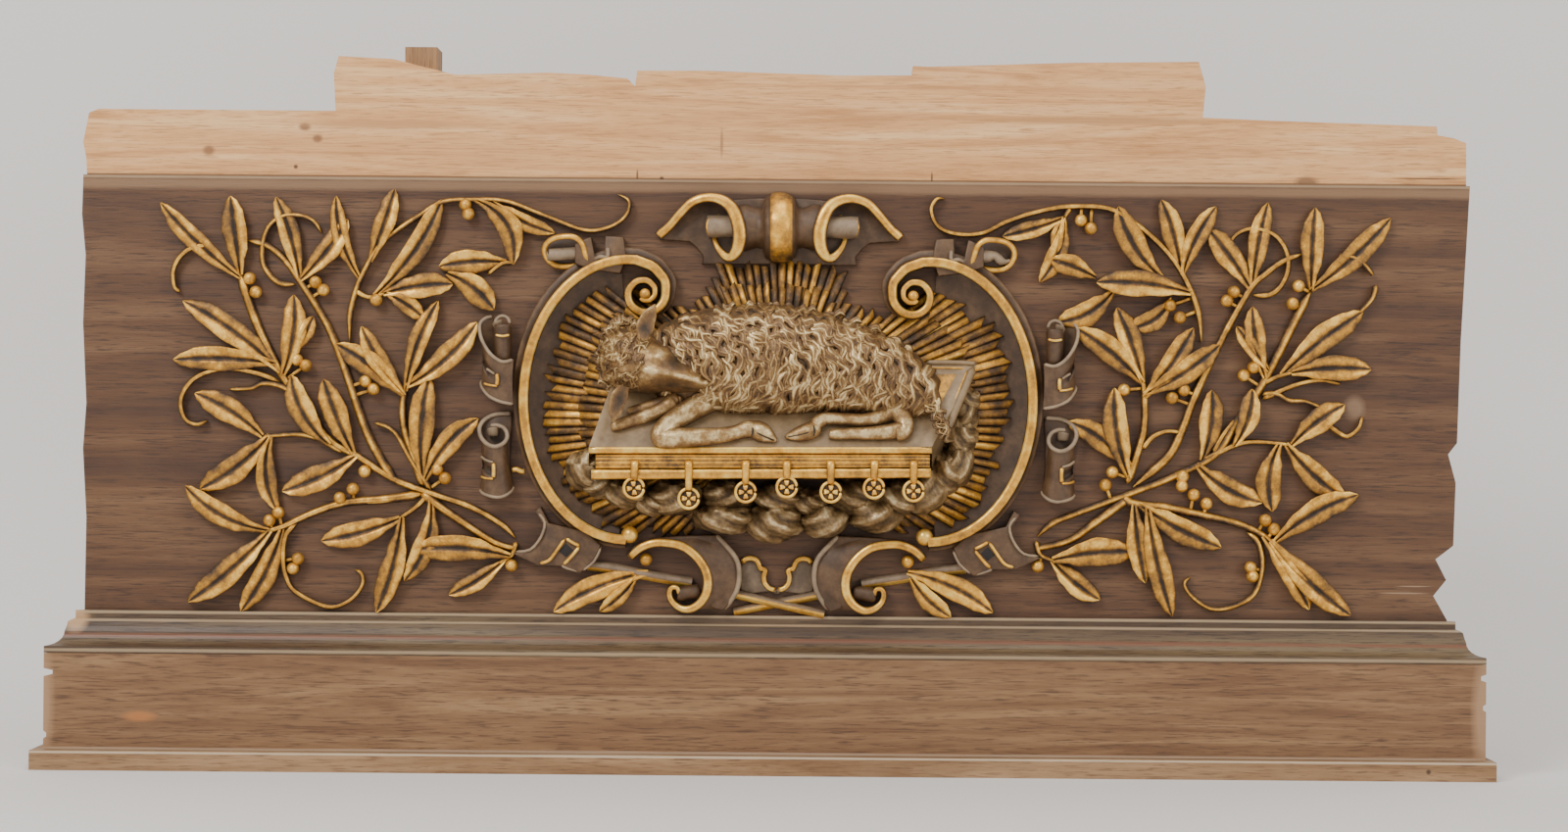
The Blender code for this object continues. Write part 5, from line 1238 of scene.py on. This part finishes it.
def face(s, t):
    """The bare face: a long nose with brow and cheek, its eye and mouth shut."""
    u = HEAD[0][0] + 0.1 + (HEAD[-1][0] - HEAD[0][0] - 0.2) * s
    middle, half, high = (between(table, u) for table in HEAD_TABLES)
    share = -math.cos(math.pi * t)
    v = middle + share * half

    def near(at_u, at_v, wide, tall):
        return math.exp(-((u - at_u) / wide) ** 2 - ((v - at_v) / tall) ** 2)
    ridge = math.exp(-((v - 376.5 - (u - 656) * 0.2) / 4.2) ** 2) * min(max((u - 650) / 8, 0.0), 1.0)
    brow, cheek, nostril = near(674, 361, 8, 9), near(660, 389, 10, 10), near(717, 387, 3, 2)
    hollow = near(690, 368, 10, 6) + 1.3 * near(687, 352, 4, 10) + 0.6 * near(690, 391, 18, 4) + nostril
    mouth = math.exp(-((share - 0.66) / 0.09) ** 2) * (u > 696)
    bumps = 4.2 * ridge + 6.0 * brow + 3.6 * cheek - 3.0 * hollow - 1.6 * mouth
    h = HEAD_LOW + (high - HEAD_LOW) * math.sqrt(max(1 - share * share, 0.0)) + bumps
    worn = 0.56 + 0.34 * ridge + 0.34 * brow + 0.24 * cheek - 0.38 * hollow - 0.3 * mouth
    return spot(u, v, h), min(max(worn - 0.3 * share ** 4, 0.0), 1.0)


def ear(bm, base, tip, width, h, lean):
    """A pointed ear, cupped on the side towards the viewer."""
    along = Vector((tip[0] - base[0], tip[1] - base[1]))
    across = Vector((-along.y, along.x)).normalized()

    def on(s, t):
        turn = 2 * math.pi * t
        wide = width / 2 * between(EAR_OUTLINE, s)
        off = math.cos(turn)
        cup = 3.4 * (1 - off * off) * (math.sin(turn) > 0) * math.sin(math.pi * min(s + 0.15, 1.0))
        mid = Vector(base) + along * s + across * (lean * 4 * s * (1 - s) + off * wide)
        return spot(mid.x, mid.y, h + 5 * math.sin(turn) * (1 - 0.6 * s) - cup), 0.7 - 0.14 * cup
    skin(bm, 14, 18, on)


def tail_h(u, v):
    """The ground under the tail, rising to its end over the book's edge."""
    return 46 + 32 * min(max((v - 385) / 60, 0.0), 1.0)


EAR_OUTLINE = ((0.0, 0.62), (0.3, 1.0), (0.65, 0.82), (0.9, 0.34), (1.0, 0.0))
# Base, tip, width, height, bend
EARS = (((656, 345), (669, 310), 19, 84, -2), ((637, 394), (626, 432), 18, 76, 2))
# Far foreleg, its lower half, near foreleg folded at the knee with its shin and hoof, then the
# hind leg's thigh, shank and far leg with their hoof: how rubbed; u, v, height on the cover, radius
LEGS = (
    (0.7, ((690, 408, 12, 9), (672, 419, 8, 7.6), (652, 427, 6, 6.8), (636, 432, 5.5, 6.4),
           (627, 435, 5, 5.2), (623, 436, 4, 3.0))),
    (0.55, ((694, 406, 10, 9), (676, 411, 8, 7), (654, 417, 6, 5.5), (640, 421, 5, 4.6))),
    (0.85, ((726, 405, 12, 15), (712, 414, 10, 13), (694, 425, 9, 11.5), (680, 436, 9, 11),
            (673.5, 445, 8, 10), (680, 449, 7, 8.6), (690, 449, 7, 8.4))),
    (0.85, ((672, 446, 7, 9), (690, 446.5, 8, 10.2), (712, 446, 7.6, 9.4), (736, 444, 7, 8.2),
            (752, 441, 7, 7.6), (762, 438, 7.6, 8.8), (768, 438, 7.4, 8.6), (771, 438.5, 6.6, 7.4))),
    (0.8, ((766, 438, 6.5, 8), (771, 438.5, 7.2, 9.8), (778, 441, 7, 9.8), (785, 445, 5.6, 7.0),
           (793, 450.5, 3.5, 1.5))),
    (0.85, ((896, 402, 16, 16), (908, 410, 12, 14), (919, 422, 9.5, 10.5), (924, 434, 8, 9),
            (922, 441, 7, 8), (914, 443, 6.5, 7.6))),
    (0.8, ((924, 437, 7, 8.6), (908, 440.5, 6.6, 8), (890, 442, 6.4, 7), (868, 442.5, 6, 6.2),
           (850, 443, 5.5, 5.4), (846, 443, 5, 4))),
    (0.8, ((912, 420, 9, 8.0), (896, 426, 9, 7.4), (880, 428.5, 8.5, 6.6), (858, 427.5, 8, 6.4),
           (842, 427, 8, 6.8), (834, 432, 7.8, 7.4), (831, 437, 7, 6.6))),
    (0.8, ((836, 434, 6.6, 7.2), (830, 438, 7, 8.8), (822, 441, 6.6, 8.8), (812, 443.5, 5.4, 6.6),
           (800.5, 446, 3.4, 1.5))))
# The cloven hooves have a dark line round the coronet and one between the claws
HOOF_LINES = (((766.5, 430, 13), (768.5, 438, 15.8), (767, 446, 13)),
              ((772, 441, 15), (782, 446, 12), (792, 450, 5)),
              ((828, 430.5, 13), (831.5, 438, 15.8), (830, 446, 13)),
              ((826, 441, 14.4), (814, 444, 11), (802, 446, 5)))
# Where the fleece starts and ends on the drawing, and how many locks are set one by one
FLEECE_TOP, FLEECE_BOTTOM, FLEECE_LEFT, FLEECE_RIGHT = 311.0, 427, 655, 965
CROWN_LOCKS, RING_LOCKS, TAIL_LOCKS = 110, 44, 34

bm = bmesh.new()
skin(bm, 60, 24, flesh)
number = 0
row_v = FLEECE_TOP
while row_v < FLEECE_BOTTOM:
    deep = (row_v - 310) / 114
    pitch_u, pitch_v = 10.0 + 3.5 * deep, 5.0 + 4.0 * deep
    u = FLEECE_LEFT + (number % 3) * 4.0
    while u < FLEECE_RIGHT:
        jitter = chance(number, 11) - 0.5
        here_u, here_v = u + 6 * jitter, row_v + 5 * (chance(number, 12) - 0.5)
        bare = here_u < 724 and head_h(here_u, here_v) > 50
        if body_h(here_u, here_v) and not bare:
            rear = max((u - 880) / 80, 0.0)
            angle = 8 + 118 * min(deep * 1.25, 1.0) + 50 * jitter - 60 * rear * (1 - deep)
            length = (15 + 16 * min(deep * 1.4, 1.0)) * (0.8 + 0.4 * chance(number, 13))
            lock(bm, here_u, here_v, angle, length, 9.0 + 4.5 * deep, number,
                 rise=3.2 + 2.4 * deep, wave=0.8 + 0.4 * deep)
        number += 1
        u += pitch_u
    row_v += pitch_v
skin(bm, 84, 54, face)
# Short curls on the crown, then a ring of them round it
for k in range(CROWN_LOCKS):
    u, v = 614 + 50 * chance(k, 21), 332 + 68 * chance(k, 22)
    if head_h(u, v) and not (u > 650 and v > 350) and u < 670:
        lock(bm, u, v, 360 * chance(k, 23), 9 + 4 * chance(k, 24), 8.0, k + 900, rise=3.4, wave=1.1,
             ground=head_h)
for k in range(RING_LOCKS):
    turn = k / RING_LOCKS * 2 * math.pi
    u, v = 634 + 21 * math.cos(turn) * (0.75 + 0.3 * chance(k, 25)), 362 + 33 * math.sin(turn)
    if u < 652 or v < 352:
        lock(bm, u, v, math.degrees(turn) + 70, 12, 8.5, k + 1300, rise=4.0, ground=head_h)
for base, tip, width, h, lean in EARS:
    ear(bm, base, tip, width, h, lean)
for worn, stations in LEGS:
    cord(bm, spot, [(u, v, cover_h(v) + up, r) for u, v, up, r in stations], worn=worn, sides=14,
         steps=5, lift=0.9)
for line in HOOF_LINES:
    cord(bm, spot, [(u, v, cover_h(v) + up) for u, v, up in line], 0.9, 0.0, steps=3, sides=6)
for k in range(TAIL_LOCKS):
    s = k / TAIL_LOCKS
    u = 934 + 31 * s + 9 * (chance(k, 31) - 0.5) * (1 - s)
    v = 380 + 62 * s + 5 * (chance(k, 32) - 0.5)
    lock(bm, u, v, 62 + 26 * (chance(k, 33) - 0.5), 24 * (1 - 0.45 * s), 10 * (1 - 0.35 * s),
         k + 2000, rise=6.5, wave=1.6, ground=tail_h)
finish("sleeping_lamb", bm, [silvering], "lamb")
